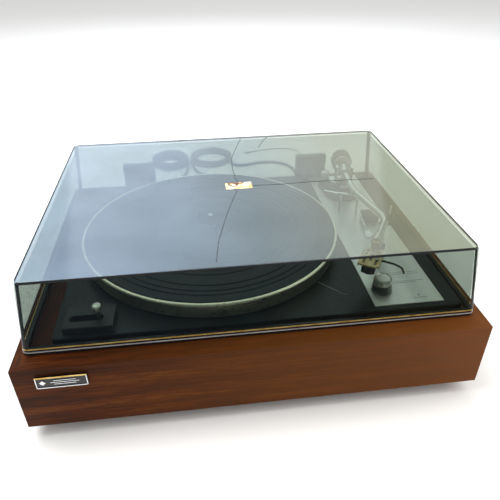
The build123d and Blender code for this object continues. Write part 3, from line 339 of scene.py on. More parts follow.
# Zinc plate over steel: bright but soft, with a faint mottle.
zincSteel = finishOf("zincPlatedSteel", ("#9d9c96", "#c6c5bf"), 3, 0.4, (0.28, 0.45), 0.01, Metallic=1.0)
paint(zincSteel, "base_screws", "deck_fasteners", "hinge_bases", "hinge_screws", "cartridge_screws")
paint(finishOf("platedMotorCan", ("#8b8b87", "#a9a9a4"), 12, 0.8, (0.3, 0.5), 0.02, Metallic=1.0), "motor")
# Ground and polished steel, and chromium plate: a clear mirror with hairline wear.
polishedSteel = finishOf("polishedSteel", ("#c4c6c8", "#d8dadb"), 6, 0.5, (0.08, 0.18), 0.005, Metallic=1.0)
paint(polishedSteel, "spindle", "thrust_ball", "hinge_pins")
chromePlate = finishOf("chromiumPlate", ("#cfd2d4", "#e2e4e5"), 8, 0.6, (0.05, 0.14), 0.004, Metallic=1.0)
paint(chromePlate, "arm_tube", "arm_yoke", "cue_lever", "lift_rail")
paint(finishOf("turnedBrass", ("#b08a45", "#c9a55e"), 5, 0.4, (0.2, 0.35), 0.01, Metallic=1.0),
      "bearing_housing", "motor_pulley")
# Turned and lacquered aluminium: pale, with the tool's fine rings.
turnedAluminium = finishOf("turnedAluminium", ("#c6c6c0", "#dddcd6"), 5, 0.4, (0.2, 0.34), 0.01,
                           Metallic=1.0)
paint(turnedAluminium, "speed_cap", "arm_collar")
# Moulded ABS: an even black with a fine spark-eroded texture.
blackAbs = finishOf("mouldedBlackAbs", ("#0f1113", "#1a1d20"), 20, 0.5, (0.32, 0.5), 0.03, IOR=1.53,
                    Specular_IOR_Level=0.35)
paint(blackAbs, "speed_block", "cue_housing", "hinge_holders")
# Nylon is milky and soft-edged; pressed phenolic is brown and dull.
paint(finishOf("mouldedNylon", ("#d6d4ca", "#e4e2da"), 6, 0.8, (0.4, 0.55), 0.03, IOR=1.53),
      "belt_fork", "rest_clip")
paint(finishOf("pressedPhenolic", ("#3a2014", "#4d2c1b"), 5, 0.7, (0.45, 0.6), 0.03), "function_switch")
# Stoved black paint on steel.
blackSteel = finishOf("stovedBlackPaint", ("#191a1d", "#2a2b2f"), 7, 0.5, (0.35, 0.5), 0.02, IOR=1.5)
paint(blackSteel, "speed_lever", "finger_lift", "arm_rest")
# The arm's own parts: satin paint under it, a pale gold shell, and glossy dark plastics.
paint(finishOf("satinBlackPaint", ("#1b1e22", "#2a2e33"), 9, 0.6, (0.38, 0.5), 0.02, IOR=1.5), "arm_base")
paleGold = finishOf("paleGoldAnodised", ("#b3a078", "#c9b78d"), 6, 0.5, (0.26, 0.4), 0.01, Metallic=1.0)
paint(paleGold, "headshell")
paint(finishOf("blueBlackPlastic", ("#0c1220", "#18213a"), 5, 0.5, (0.18, 0.3), 0.01, IOR=1.53),
      "cartridge")
paint(finishOf("smokedStylusPlastic", ("#26282c", "#35383d"), 3, 0.4, (0.25, 0.35), 0.01, IOR=1.53),
      "stylus")
paint(blackPvc, "lead_glands", "mains_plug", "lead_connectors")
# Black lacquer: deep and glossy, so that the bright border stands out.
paint(finishOf("blackLacquerBadge", ("#0b0b0d", "#17171a"), 6, 0.5, (0.2, 0.3), 0.01, IOR=1.5), "badge")


# The platter's lip starts between these heights, and the skirt below them takes a darker tone as painted shade;
# the tool's rings are 0.8 mm apart.
platterFinish = {
    "lipFrom": 116.2, "lipTo": 117.0, "ring": 0.8, "relief": 0.006,
    # The first, darker tone is painted shade on the skirt; the second is the lip's own.
    "tones": [(0.0, "#b8b59f"), (1.0, "#e6e2cc")],
}


def castPlatter(name):
    # Die-cast aluminium, turned on its rim: a bright yellowish lip; the skirt below it is painted darker, as
    # painted shade.
    material, tree, shader = newMaterial(name, Metallic=1.0)
    place = addNode(tree, "TexCoord")
    parts = addNode(tree, "SeparateXYZ", {"Vector": place.outputs["Object"]})
    drawn = addNode(tree, "Mapping", {"Vector": place.outputs["Object"], "Scale": (0.15, 0.15, 1)})
    rings = addNode(tree, "TexNoise", {
        "Vector": drawn.outputs[0], "Scale": 1 / (platterFinish["ring"] * mm), "Detail": 3,
    })
    # Mask by height: the lip gets the bright tone, the skirt the darker one, which stands in for the shadow under
    # the lip and the dark deck it reflects.
    lip = addNode(tree, "MapRange", {
        "Value": parts.outputs["Z"], "To Min": 0.0, "To Max": 1.0,
        "From Min": platterFinish["lipFrom"] * mm, "From Max": platterFinish["lipTo"] * mm,
    })
    tone = addNode(tree, "ValToRGB", {"Fac": lip.outputs[0]}, stops=platterFinish["tones"])
    gloss = addNode(tree, "MapRange", {
        "Value": rings.outputs["Fac"], "From Min": 0.3, "From Max": 0.7, "To Min": 0.24, "To Max": 0.42,
    })
    raised = addNode(tree, "Bump", {
        "Height": rings.outputs["Fac"], "Distance": platterFinish["relief"] * mm,
    })
    tree.links.new(tone.outputs["Color"], shader.inputs["Base Color"])
    tree.links.new(gloss.outputs[0], shader.inputs["Roughness"])
    tree.links.new(raised.outputs["Normal"], shader.inputs["Normal"])
    return material


paint(castPlatter("dieCastAluminium"), "platter")
# Deck: smooth satin paint, nearly black, with broad faint clouds of dust.
paint(finishOf("satinDeckPaint", ("#050b0e", "#101c20"), 25, 2.5, (0.28, 0.4), 0.006, IOR=1.5,
               Specular_IOR_Level=0.3), "deck_plate")
# Arm plate: pale aluminium brushed along its length, with soft long streaks.
paint(finishOf("brushedAluminiumPlate", ("#e2e4e0", "#f2f3ee"), 14, 0.35, (0.36, 0.5), 0.01,
               stretch=(1, 0.03, 1), Metallic=1.0), "arm_plate")
# Rim: glossy black extrusion under the cover.
paint(finishOf("extrudedBlackTrim", ("#0c0c0e", "#1a1a1d"), 8, 0.6, (0.2, 0.35), 0.01, IOR=1.5),
      "cover_rim")
print("kept pieces painted")


def lathe(profile, steps, place, ribs=None):
    # Turns a profile of (radius, height) points, in millimetres, round the local Z axis.
    # ribs is (from radius, depth) for a rim whose every other step is cut in.
    mesh = bmesh.new()
    points = [mesh.verts.new((r * mm, 0, z * mm)) for r, z in profile]
    edges = [mesh.edges.new(pair) for pair in zip(points, points[1:])]
    if profile[0][0] > 0:  # a ring's section closes on itself
        edges.append(mesh.edges.new((points[-1], points[0])))
    bmesh.ops.spin(
        mesh, geom=points + edges, cent=(0, 0, 0), axis=(0, 0, 1), angle=2 * math.pi, steps=steps,
        use_merge=True, use_duplicate=False,
    )
    bmesh.ops.remove_doubles(mesh, verts=mesh.verts[:], dist=0.001 * mm)
    if ribs:
        for vert in mesh.verts:
            reach = math.hypot(vert.co.x, vert.co.y)
            turn = round(math.atan2(vert.co.y, vert.co.x) / (2 * math.pi) * steps)
            if reach > ribs[0] * mm and turn % 2:
                vert.co.x *= 1 - ribs[1] * mm / reach
                vert.co.y *= 1 - ribs[1] * mm / reach
    bmesh.ops.recalc_face_normals(mesh, faces=mesh.faces[:])
    bmesh.ops.transform(mesh, matrix=place, verts=mesh.verts[:])
    return mesh


def standing(x, y, z=0.0):
    return Matrix.Translation(Vector((x, y, z)) * mm)


def pointing(origin, direction):
    # A place whose local Z runs along direction.
    turn = Vector(direction).to_track_quat("Z", "Y").to_matrix().to_4x4()
    return Matrix.Translation(Vector(origin) * mm) @ turn


def block(mesh, size, place, bevel=0.0, segments=2):
    # A bevelled block of that size in millimetres, added to mesh. Returns its faces.
    made = bmesh.ops.create_cube(mesh, size=1)["verts"]
    bmesh.ops.scale(mesh, vec=Vector(size) * mm, verts=made)
    faces = set(f for v in made for f in v.link_faces)
    if bevel:
        edges = list(set(e for v in made for e in v.link_edges))
        grown = bmesh.ops.bevel(
            mesh, geom=edges, offset=bevel * mm, segments=segments, profile=0.5, affect="EDGES", material=-1
        )
        faces = set(f for f in faces if f.is_valid) | set(grown["faces"])
        made = list(set(v for f in faces for v in f.verts))
    bmesh.ops.transform(mesh, matrix=place, verts=made)
    return faces


def joined(*meshes):
    # One bmesh from several; each one's faces take the material slot of its place in the list.
    whole = bmesh.new()
    for slot, part in enumerate(meshes):
        for face in part.faces:
            face.material_index = slot
        data = bpy.data.meshes.new("part")
        part.to_mesh(data)
        part.free()
        whole.from_mesh(data)
        bpy.data.meshes.remove(data)
    return whole


spindleAt = (-35.5, 2.5)

# The mat: wide bands between sunken grooves, with a raised ring under a record's label edge and rim.
mat = {
    "radius": 148.2, "hole": 4.8, "under": 116.5, "top": 120.0, "groove": 0.9, "grooveWidth": 2.2,
    "grooves": (27, 47, 55, 75, 95, 103, 121, 130, 137), "steps": 180,
    "rib": 2, "ribDepth": 0.02, "dust": 30, "tones": [(0.3, "#0d1418"), (0.7, "#1b262d")],
}


def makeMat(setup):
    top, low = setup["top"], setup["top"] - setup["groove"]
    outline = [(setup["hole"], setup["under"]), (setup["hole"], top - 0.8), (20, top - 0.8), (21, top)]
    for reach in setup["grooves"]:
        half = setup["grooveWidth"] / 2
        outline += [
            (reach - half, top), (reach - half + 0.4, low), (reach + half - 0.4, low), (reach + half, top),
        ]
    edge = setup["radius"]
    outline += [(edge - 1.2, top), (edge, top - 1.0), (edge, setup["under"])]
    turned = lathe(outline, setup["steps"], standing(*spindleAt))
    return finishPiece("ribbedMat", turned, [matRubber], "platter", 20)


def ribbedRubber(name):
    # Moulded black rubber with fine ribs round the spindle: matt, with broad clouds of dust.
    material, tree, shader = newMaterial(name, IOR=1.5, Specular_IOR_Level=0.3)
    place = addNode(tree, "TexCoord")
    centred = addNode(tree, "Mapping", {
        "Vector": place.outputs["Object"], "Location": (-spindleAt[0] * mm, -spindleAt[1] * mm, 0),
    })
    flat = addNode(tree, "VectorMath", {0: centred.outputs[0], 1: (1, 1, 0)}, operation="MULTIPLY")
    reach = addNode(tree, "VectorMath", {0: flat.outputs[0]}, operation="LENGTH")
    phase = addNode(tree, "Math", {
        0: reach.outputs["Value"], 1: 2 * math.pi / (mat["rib"] * mm),
    }, operation="MULTIPLY")
    wave = addNode(tree, "Math", {0: phase.outputs[0]}, operation="SINE")
    dust = addNode(tree, "TexNoise", {
        "Vector": centred.outputs[0], "Scale": 1 / (mat["dust"] * mm), "Detail": 5,
    })
    tone = addNode(tree, "ValToRGB", {"Fac": dust.outputs["Fac"]}, stops=mat["tones"])
    gloss = addNode(tree, "MapRange", {
        "Value": dust.outputs["Fac"], "From Min": 0.3, "From Max": 0.7, "To Min": 0.42, "To Max": 0.62,
    })
    raised = addNode(tree, "Bump", {
        "Height": wave.outputs[0], "Distance": mat["ribDepth"] * mm, "Strength": 0.4,
    })
    tree.links.new(tone.outputs["Color"], shader.inputs["Base Color"])
    tree.links.new(gloss.outputs[0], shader.inputs["Roughness"])
    tree.links.new(raised.outputs["Normal"], shader.inputs["Normal"])
    return material


matRubber = ribbedRubber("ribbedMatRubber")
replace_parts(makeMat(mat), "platter_mat")
print("mat laid")

# The function knob: a faceted gloss skirt under a broad, low, fluted cap with a dished top.
knob = {
    "place": (136, -124), "foot": 100.8, "shoulder": 109.8, "top": 117.0, "skirt": 11.0, "cap": 9.4,
    "facets": 20, "flutes": 72, "fluteDepth": 0.35,
}


def makeKnob(setup):
    foot, shoulder, top = setup["foot"], setup["shoulder"], setup["top"]
    wide, slim = setup["skirt"], setup["cap"]
    skirt = lathe(
        [(0, foot), (wide - 0.4, foot), (wide, foot + 0.4), (wide, foot + 1.6),
         (wide - 1.3, shoulder - 0.8), (wide - 2.2, shoulder), (0, shoulder)],
        setup["facets"], standing(*setup["place"]),
    )
    cap = lathe(
        [(0, shoulder), (slim - 0.5, shoulder), (slim, shoulder + 0.5), (slim, top - 1.2),
         (slim - 0.7, top - 0.2), (slim - 1.4, top), (slim - 2.0, top - 0.3), (slim - 2.4, top - 0.7),
         (0, top - 1.0)],
        setup["flutes"], standing(*setup["place"]), ribs=(slim - 0.6, setup["fluteDepth"]),
    )
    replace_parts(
        finishPiece("knobSkirtFaceted", skirt, [glossPhenolic], "knob", 12), "knob_skirt"
    )
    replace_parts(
        finishPiece("knobCapFluted", cap, [turnedAluminium], "knob", 25), "knob_cap"
    )


# Polished black phenolic: deep, with sharp highlights on its facets.
glossPhenolic = finishOf("glossPhenolic", ("#0b0f14", "#141b24"), 9, 0.8, (0.1, 0.2), 0.003, IOR=1.55,
                         Coat_Weight=0.3)
makeKnob(knob)

# The tonearm's parts that turn on its own axis behind the pivot, and the anti-skate knob beside it.
weights = {
    "pivot": (156.0, 98.0, 138.0), "backWay": (0.15772, 0.98748, 0.0), "marks": 20, "longEvery": 5,
    "antiSkate": (138, 127),
}
# Lacquered steel: black, with a soft sheen on its knurls. The same black fills the headshell's holes as painted
# shade.
blackTurnedAndHoleShade = finishOf("blackLacqueredSteelAndHoleShade", ("#131417", "#232529"), 6, 0.5, (0.22, 0.36), 0.005, IOR=1.5)


def makeWeights(setup):
    along = pointing(setup["pivot"], setup["backWay"])
    body = lathe(
        [(5.2, 23), (12.2, 23), (13.2, 23.4), (13.8, 24.4), (14, 25), (14, 33), (13.2, 33.3), (13.2, 34.2),
         (14, 34.5), (14, 40.6), (13.4, 41.6), (5.2, 41.6)], 96, along, ribs=(13.9, 0.3),
    )
    face = lathe([(5.2, 41.6), (13.3, 41.6), (13.1, 44.2), (12.3, 45), (6, 45), (5.2, 44.4)], 64, along)
    dial = lathe(
        [(5.2, 17.6), (11.8, 17.6), (12.4, 18.0), (12.6, 18.6), (12.6, 21.8), (12.0, 22.6), (5.2, 22.6)],
        80, along, ribs=(12.5, 0.22),
    )
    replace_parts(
        finishPiece("counterweightKnurled", joined(body, face), [blackTurnedAndHoleShade, turnedAluminium],
                    "counterweight"),
        "counterweight",
    )
    marks = bmesh.new()
    for i in range(setup["marks"]):
        tall = 2.4 if i % setup["longEvery"] == 0 else 1.3
        around = Matrix.Rotation(2 * math.pi * i / setup["marks"], 4, "Z")
        spot = along @ around @ standing(10.6 - tall / 2, 0, 17.56)
        block(marks, (tall, 0.35, 0.12), spot)
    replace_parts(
        finishPiece("weightDialFluted", joined(dial, marks), [turnedAluminium, blackTurnedAndHoleShade],
                    "weight_dial"),
        "weight_dial",
    )
    bias = lathe(
        [(0, 112.4), (6.1, 112.4), (6.5, 112.8), (6.5, 122.9), (5.7, 124.1), (4.9, 124.4), (0, 124.1)],
        48, standing(*setup["antiSkate"]), ribs=(6.3, 0.3),
    )
    pointer = bmesh.new()
    block(pointer, (3.4, 0.5, 0.2), standing(setup["antiSkate"][0] + 2.6, setup["antiSkate"][1], 124.32))
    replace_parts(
        finishPiece("antiSkateKnobFluted", joined(bias, pointer), [turnedAluminium, blackTurnedAndHoleShade],
                    "antiskate"),
        "antiskate_knob",
    )


makeWeights(weights)

# Feet: stepped rubber with a dished sole.
feetAt = [(x, y) for x in (-190, 190) for y in (-145, 145)]


def makeFeet(places):
    outline = [
        (5.2, 2.2), (5.2, 0.8), (11.0, 0.0), (13.2, 0.0), (14.0, 0.8), (14.2, 5.0), (13.4, 5.6), (13.4, 6.6),
        (14.4, 7.2), (14.6, 10.6), (13.8, 11.2), (13.8, 12.2), (15.0, 12.8), (15.0, 16.0), (5.2, 16.0),
    ]
    whole = joined(*(lathe(outline, 40, standing(*spot)) for spot in places))
    for face in whole.faces:
        face.material_index = 0
    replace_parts(finishPiece("steppedFeet", whole, [footRubber], "plinth"), "feet")


makeFeet(feetAt)
print("knobs, weights and feet turned")

# Headshell: lightening holes in its top, each with a bright pressed rim round a dark disc of painted shade.
# Each hole is its way along the shell, its way across it, and its radius.
shell = {
    "collar": (142.0, -82.5), "turn": 30.0, "top": 136.0,
    "holes": (
        (24, -5.2, 1.7), (24, 5.2, 1.7), (31, 0, 2.1), (38, 0, 1.7), (44.5, -6.0, 1.3), (44.5, 6.0, 1.3),
    ),
}


def shellPoint(s, w, z):
    a = math.radians(shell["turn"])
    ahead = (-math.sin(a), -math.cos(a))
    x, y = shell["collar"]
    return (x + s * ahead[0] - w * ahead[1], y + s * ahead[1] + w * ahead[0], z)


def makeShellHoles():
    rims, holeShadeDiscs = [], []
    for s, w, r in shell["holes"]:
        spot = standing(*shellPoint(s, w, shell["top"]))
        section = [(r, -0.05), (r + 0.5, -0.05), (r + 0.55, 0.12), (r + 0.2, 0.2), (r, 0.1)]
        rims.append(lathe(section, 28, spot))
        # Painted shade: a dark disc fills each hole, standing for the dark seen through it.
        holeShadeDiscs.append(lathe([(0, -0.05), (r, -0.05), (r, 0.03), (0, 0.03)], 28, spot))
    rim, holeShadeDisc = joined(*rims), joined(*holeShadeDiscs)
    for face in (*rim.faces, *holeShadeDisc.faces):
        face.material_index = 0
    finishPiece("shellHoles", joined(rim, holeShadeDisc), [paleGold, blackTurnedAndHoleShade], "arm")


makeShellHoles()

# Badge: black face, bright border and a plain mark of a diamond and three bars.
badge = {
    "place": (-186.2, 75.8), "front": -187.0, "size": (46.5, 13.5), "border": 1.0,
    "bars": ((-2.2, 20), (0, 26), (2.2, 20)), "diamond": 4.2,
}
# Lacquered gold and polished bright trim: thin metal that catches the light along its edges.
# On the cover's rim the same two finishes are painted light: a reflection of the wood and a highlight.
goldTrimAndRimReflection = finishOf("goldLacquerTrimAndRimReflection", ("#c29a45", "#e8cc82"), 9, 0.6, (0.25, 0.4), 0.004, Metallic=0.7)
silverTrimAndRimHighlight = finishOf("brightTrimAndRimHighlight", ("#d3d6d8", "#eceeee"), 30, 0.6, (0.15, 0.3), 0.004, Metallic=0.6)


def makeBadge(setup):
    x, z = setup["place"]
    wide, tall = setup["size"]
    line, front = setup["border"], setup["front"]
    silver, gold = bmesh.new(), bmesh.new()
    for side in (-1, 1):
        block(silver, (line, 0.5, tall), standing(x + side * (wide - line) / 2, front, z), 0.15)
    block(silver, (wide, 0.5, line), standing(x, front, z - (tall - line) / 2), 0.15)
    block(gold, (wide, 0.7, line * 1.3), standing(x, front, z + (tall - line) / 2), 0.15)
    for step, run in setup["bars"]:
        block(silver, (run, 0.3, 0.7), standing(x + 3, front, z + step), 0.1)
    turned = standing(x - 17, front, z) @ Matrix.Rotation(math.pi / 4, 4, "Y")
    block(silver, (setup["diamond"], 0.3, setup["diamond"]), turned, 0.2)
    finishPiece("badgeTrim", joined(silver, gold), [silverTrimAndRimHighlight, goldTrimAndRimReflection], "plinth")


makeBadge(badge)

# Fine lines printed on the arm plate: each row's Y and its ends in X, five ticks and a pointer.
platePrint = {
    "top": 100.42, "thick": 0.04,
    "rows": ((-96, 148, 187), (-99.5, 148, 187), (-112, 150, 187), (-114.5, 150, 178)),
    "ticks": 5, "firstTick": 152, "tickStep": 5, "tickY": -104.5, "pointer": (172, -137), "under": (172, -141),
}
# Dark grey ink: flat and matt.
plateInk = finishOf("screenPrintInk", ("#3a3c3d", "#4a4c4d"), 5, 0.5, (0.5, 0.6), 0.001)


def makePrint(setup):
    mesh = bmesh.new()
    top, thick = setup["top"], setup["thick"]
    for y, left, right in setup["rows"]:
        block(mesh, (right - left, 0.45, thick), standing((left + right) / 2, y, top))
    for i in range(setup["ticks"]):
        x = setup["firstTick"] + i * setup["tickStep"]
        block(mesh, (0.4, 3.2, thick), standing(x, setup["tickY"], top))
    tip = bmesh.ops.create_cone(
        mesh, cap_ends=True, cap_tris=False, segments=3, radius1=1.5 * mm, radius2=1.5 * mm,
        depth=thick * mm,
    )["verts"]
    bmesh.ops.transform(mesh, matrix=standing(*setup["pointer"], top), verts=tip)
    block(mesh, (15, 0.5, thick), standing(*setup["under"], top))
    finishPiece("platePrint", mesh, [plateInk], "plinth")


makePrint(platePrint)

# One long scratch in the deck's paint, pale where the primer shows.
scratch = {"ends": ((73, -100), (98, -127)), "width": 0.6, "thick": 0.04, "deckTop": 99.4, "fade": 0.7}
# Bare primer: pale grey and matt.
barePrimer = finishOf("barePrimer", ("#8f938d", "#b4b7b0"), 6, 0.5, (0.5, 0.7), 0.01)


def makeScratch(setup):
    (x0, y0), (x1, y1) = setup["ends"]
    run = math.hypot(x1 - x0, y1 - y0)
    turn = Matrix.Rotation(math.atan2(y1 - y0, x1 - x0), 4, "Z")
    mesh = bmesh.new()
    middle = standing((x0 + x1) / 2, (y0 + y1) / 2, setup["deckTop"] + setup["thick"] / 2)
    block(mesh, (run, setup["width"], setup["thick"]), middle @ turn)
    for vert in mesh.verts:  # it fades out towards its far end
        away = (vert.co.xy - Vector((x0, y0)) * mm).length / (run * mm)
        line = Vector((x0, y0)) * mm + (Vector((x1 - x0, y1 - y0)) * mm) * away
        vert.co.xy = line + (vert.co.xy - line) * (1 - setup["fade"] * away)
    finishPiece("deckScratch", mesh, [barePrimer], "plinth")


makeScratch(scratch)
print("headshell, badge, print and scratch done")


# The cover: its measures at its foot and its top, in millimetres, and how its acrylic looks.
lid = {
    "left": -222.0, "right": 220.0, "front": -166.0, "back": 173.0, "foot": 91.4, "top": 168.8, "lean": 9.0,
    "rounding": 6, "filmThin": 0.32, "filmThick": 0.42, "filmAtLeft": 1.45, "cloud": 90,
    "tint": "#d5dad6", "gloss": 0.45, "haze": [(0.0, "#869bb0"), (0.45, "#7f929b"), (1.0, "#90937c")],
}
# The lines round it: each from one height to another, how proud it stands and how thick it is.
lidLines = {
    "edge": (lid["top"] - 2.4, lid["top"] - 0.1, 0.08, 0.7),
    # The gold and silver lines are painted light: a painted reflection of the wood on the rim's top step, and a
    # painted highlight on its bead.
    "gold": (97.7, 98.8, 0.3, 0.4),
    "silver": (94.4, 95.5, 0.3, 0.4),
}
# The corners' dark faces: how far they run along each wall, and where they start above the rim.
lidPosts = {"run": 4.2, "reach": 1.0, "foot": 99.2, "belowTop": 0.6, "proud": 0.06, "thick": 0.25}


def lidInset(z):
    return (z - lid["foot"]) * lid["lean"] / (lid["top"] - lid["foot"])


def lidCorners(z, proud=0.0):
    # The four corners of the cover's outline at a height, going round.
    inset = lidInset(z) - proud
    left, right = lid["left"] + inset, lid["right"] - inset
    front, back = lid["front"] + inset, lid["back"] - inset
    return [(left, front, z), (right, front, z), (right, back, z), (left, back, z)]


def lidBand(name, line, material):
    # A thin band round the cover between two heights, a little proud of it.
    low, high, proud, thick = line
    mesh = bmesh.new()
    lower = [mesh.verts.new(Vector(c) * mm) for c in lidCorners(low, proud)]
    edges = [mesh.edges.new((lower[i], lower[(i + 1) % 4])) for i in range(4)]
    grown = bmesh.ops.extrude_edge_only(mesh, edges=edges)["geom"]
    raised = [g for g in grown if isinstance(g, bmesh.types.BMVert)]
    shrink = lidInset(high) - lidInset(low)
    middle = Vector(((lid["left"] + lid["right"]) / 2, (lid["front"] + lid["back"]) / 2, 0)) * mm
    for vert in raised:
        side = vert.co - middle
        vert.co.x -= math.copysign(shrink * mm, side.x)
        vert.co.y -= math.copysign(shrink * mm, side.y)
        vert.co.z = high * mm
    uprights = [e for e in mesh.edges if abs(e.verts[0].co.z - e.verts[1].co.z) > 0.1 * mm]
    bmesh.ops.bevel(
        mesh, geom=uprights, offset=lid["rounding"] * mm, segments=6, profile=0.5, affect="EDGES",
        material=-1,
    )
    bmesh.ops.recalc_face_normals(mesh, faces=mesh.faces[:])
    bmesh.ops.solidify(mesh, geom=mesh.faces[:], thickness=-thick * mm)
    return finishPiece(name, mesh, [material], "cover")


def lidCornerPosts(name, setup, material):
    # The moulded corners look dark and thick, because light runs along inside them.
    whole = bmesh.new()
    low = lidCorners(setup["foot"], setup["proud"])
    high = lidCorners(lid["top"] - setup["belowTop"], setup["proud"])
    run, reach = setup["run"], setup["reach"]
    for i, (foot, head) in enumerate(zip(low, high)):
        inX = 1 if foot[0] < 0 else -1
        inY = 1 if foot[1] < 0 else -1
        lines = []
        for x, y in ((run, 0), (reach * 1.7, reach * 0.5), (reach * 0.5, reach * 1.7), (0, run)):
            lines.append([
                whole.verts.new(Vector((c[0] + inX * x, c[1] + inY * y, c[2])) * mm)
                for c in (foot, head)
            ])
        for a, b in zip(lines, lines[1:]):
            whole.faces.new((a[0], b[0], b[1], a[1]))
    bmesh.ops.recalc_face_normals(whole, faces=whole.faces[:])
    bmesh.ops.solidify(whole, geom=whole.faces[:], thickness=setup["thick"] * mm)
    bmesh.ops.recalc_face_normals(whole, faces=whole.faces[:])
    return finishPiece(name, whole, [material], "cover", 60)


def smokedAcrylic(name):
    # Cast acrylic, smoked and polished: clear through its walls, with a pale film that lies
    # in broad clouds on its flat top, bluish at the left and warmer at the right.
    material, tree, shader = newMaterial(name, Roughness=0.1, IOR=1.49)
    place = addNode(tree, "TexCoord")
    face = addNode(tree, "NewGeometry")
    level = addNode(tree, "SeparateXYZ", {"Vector": place.outputs["Object"]})
    height = addNode(tree, "MapRange", {
        "Value": level.outputs["Z"], "To Min": 0.0, "To Max": 1.0,
        "From Min": (lid["top"] - 0.9) * mm, "From Max": (lid["top"] - 0.3) * mm,
    })
    # Noise that sets where the pale film on the top lies thick or thin.
    dust = addNode(tree, "TexNoise", {
        "Vector": place.outputs["Object"], "Scale": 1 / (lid["cloud"] * mm), "Detail": 5,
    })
    film = addNode(tree, "MapRange", {
        "Value": dust.outputs["Fac"], "From Min": 0.3, "From Max": 0.7,
        "To Min": lid["filmThin"], "To Max": lid["filmThick"],
    })
    # The film lies thicker towards the left.
    left = addNode(tree, "MapRange", {
        "Value": level.outputs["X"], "From Min": -0.2, "From Max": 0.0,
        "To Min": lid["filmAtLeft"], "To Max": 1.0,
    })
    laid = addNode(tree, "Math", {0: film.outputs[0], 1: left.outputs[0]}, operation="MULTIPLY")
    filmHere = addNode(tree, "Math", {0: laid.outputs[0], 1: height.outputs[0]}, operation="MULTIPLY")
    gloss = addNode(tree, "Fresnel", {"IOR": 1.49})
    dimmed = addNode(tree, "Math", {0: gloss.outputs[0], 1: lid["gloss"]}, operation="MULTIPLY")
    whole = addNode(tree, "Math", {
        0: filmHere.outputs[0], 1: dimmed.outputs[0],
    }, operation="ADD", use_clamp=True)
    # Only the outer face shines: from behind, Fresnel would turn the whole wall into a mirror.
    outer = addNode(tree, "Math", {0: 1.0, 1: face.outputs["Backfacing"]}, operation="SUBTRACT")
    cover = addNode(tree, "Math", {0: whole.outputs[0], 1: outer.outputs[0]}, operation="MULTIPLY")
    side = addNode(tree, "MapRange", {
        "Value": level.outputs["X"], "From Min": -0.1, "From Max": 0.14, "To Min": 0.0, "To Max": 1.0,
    })
    haze = addNode(tree, "ValToRGB", {"Fac": side.outputs[0]}, stops=lid["haze"])
    tree.links.new(haze.outputs["Color"], shader.inputs["Base Color"])
    clear = addNode(tree, "BsdfTransparent", {"Color": lid["tint"]})
    both = addNode(tree, "MixShader", {0: cover.outputs[0], 1: clear.outputs[0], 2: shader.outputs[0]})
    tree.links.new(both.outputs[0], tree.nodes["Material Output"].inputs["Surface"])
    return material


def lidCrack(name, points, width):
    # A hairline crack, drawn a little proud of the top.
    curve = bpy.data.curves.new(name, "CURVE")
    curve.dimensions = "3D"
    spline = curve.splines.new("POLY")
    spline.points.add(len(points) - 1)
    for point, (x, y) in zip(spline.points, points):
        point.co = (x * mm, y * mm, (lid["top"] + 0.02) * mm, 1)
    curve.bevel_depth = width / 2 * mm
    curve.bevel_resolution = 1
    curve.materials.append(crackShade)
    piece = bpy.data.objects.new(name, curve)
    bpy.context.scene.collection.objects.link(piece)
    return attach(piece, "cover")


paint(smokedAcrylic("smokedAcrylic"), "dust_cover")
# Looked at along its edge, the acrylic is nearly black and glossy; a crack is dark and dull.
edgeAcrylic = finishOf("darkAcrylicEdge", ("#04080b", "#0c1216"), 15, 1.0, (0.12, 0.2), 0.002, IOR=1.49,
                       Specular_IOR_Level=0.2)
crackShade = finishOf("crackedAcrylicEdge", ("#1b2024", "#33393d"), 3, 0.6, (0.3, 0.5), 0.01, IOR=1.49)
lidBand("lidTopEdge", lidLines["edge"], edgeAcrylic)
lidCornerPosts("lidCornerEdges", lidPosts, edgeAcrylic)
# Painted light on the rim: a gold line of painted reflection of the wood, and a silver line of painted highlight.
lidBand("rimPaintedWoodReflection", lidLines["gold"], goldTrimAndRimReflection)
lidBand("rimPaintedHighlight", lidLines["silver"], silverTrimAndRimHighlight)
# Each crack is a line of points in X and Y, in millimetres.
crackWidth = 0.7
cracks = {
    "rearLong": [(19.7, 163.5), (11.3, 133.4), (-1.3, 88.9), (-3.1, 56.8), (-2.3, 27), (-0.2, 14.5)],
    "rearShort": [(60, 163.5), (49.7, 147.2), (39, 121.9)],
    "front": [
        (-3.3, -5.6), (-11.4, -29.6), (-19.5, -58.6), (-27.3, -89.1), (-33.3, -116.8), (-37.5, -148.8),
    ],
    "right": [(16, 4.1), (48.5, 3.1), (85, 4.9), (121.3, 4), (161.8, 3.1)],
}
for name, points in cracks.items():
    lidCrack("crack" + name[0].upper() + name[1:], points, crackWidth)


# The repair tape over the point where the cracks meet. The pattern is moved so that it suits the tape.
tape = {
    "place": (-0.5, 6), "size": (31, 17), "thick": 0.15, "lift": 0.15, "blotch": 9, "stroke": 24,
    "moved": (0.0005, -0.006, 0), "tones": [(0.36, "#e9e2d0"), (0.5, "#e4d3a2"), (0.64, "#d3a047")],
    "penTone": "#6e3a16",
}


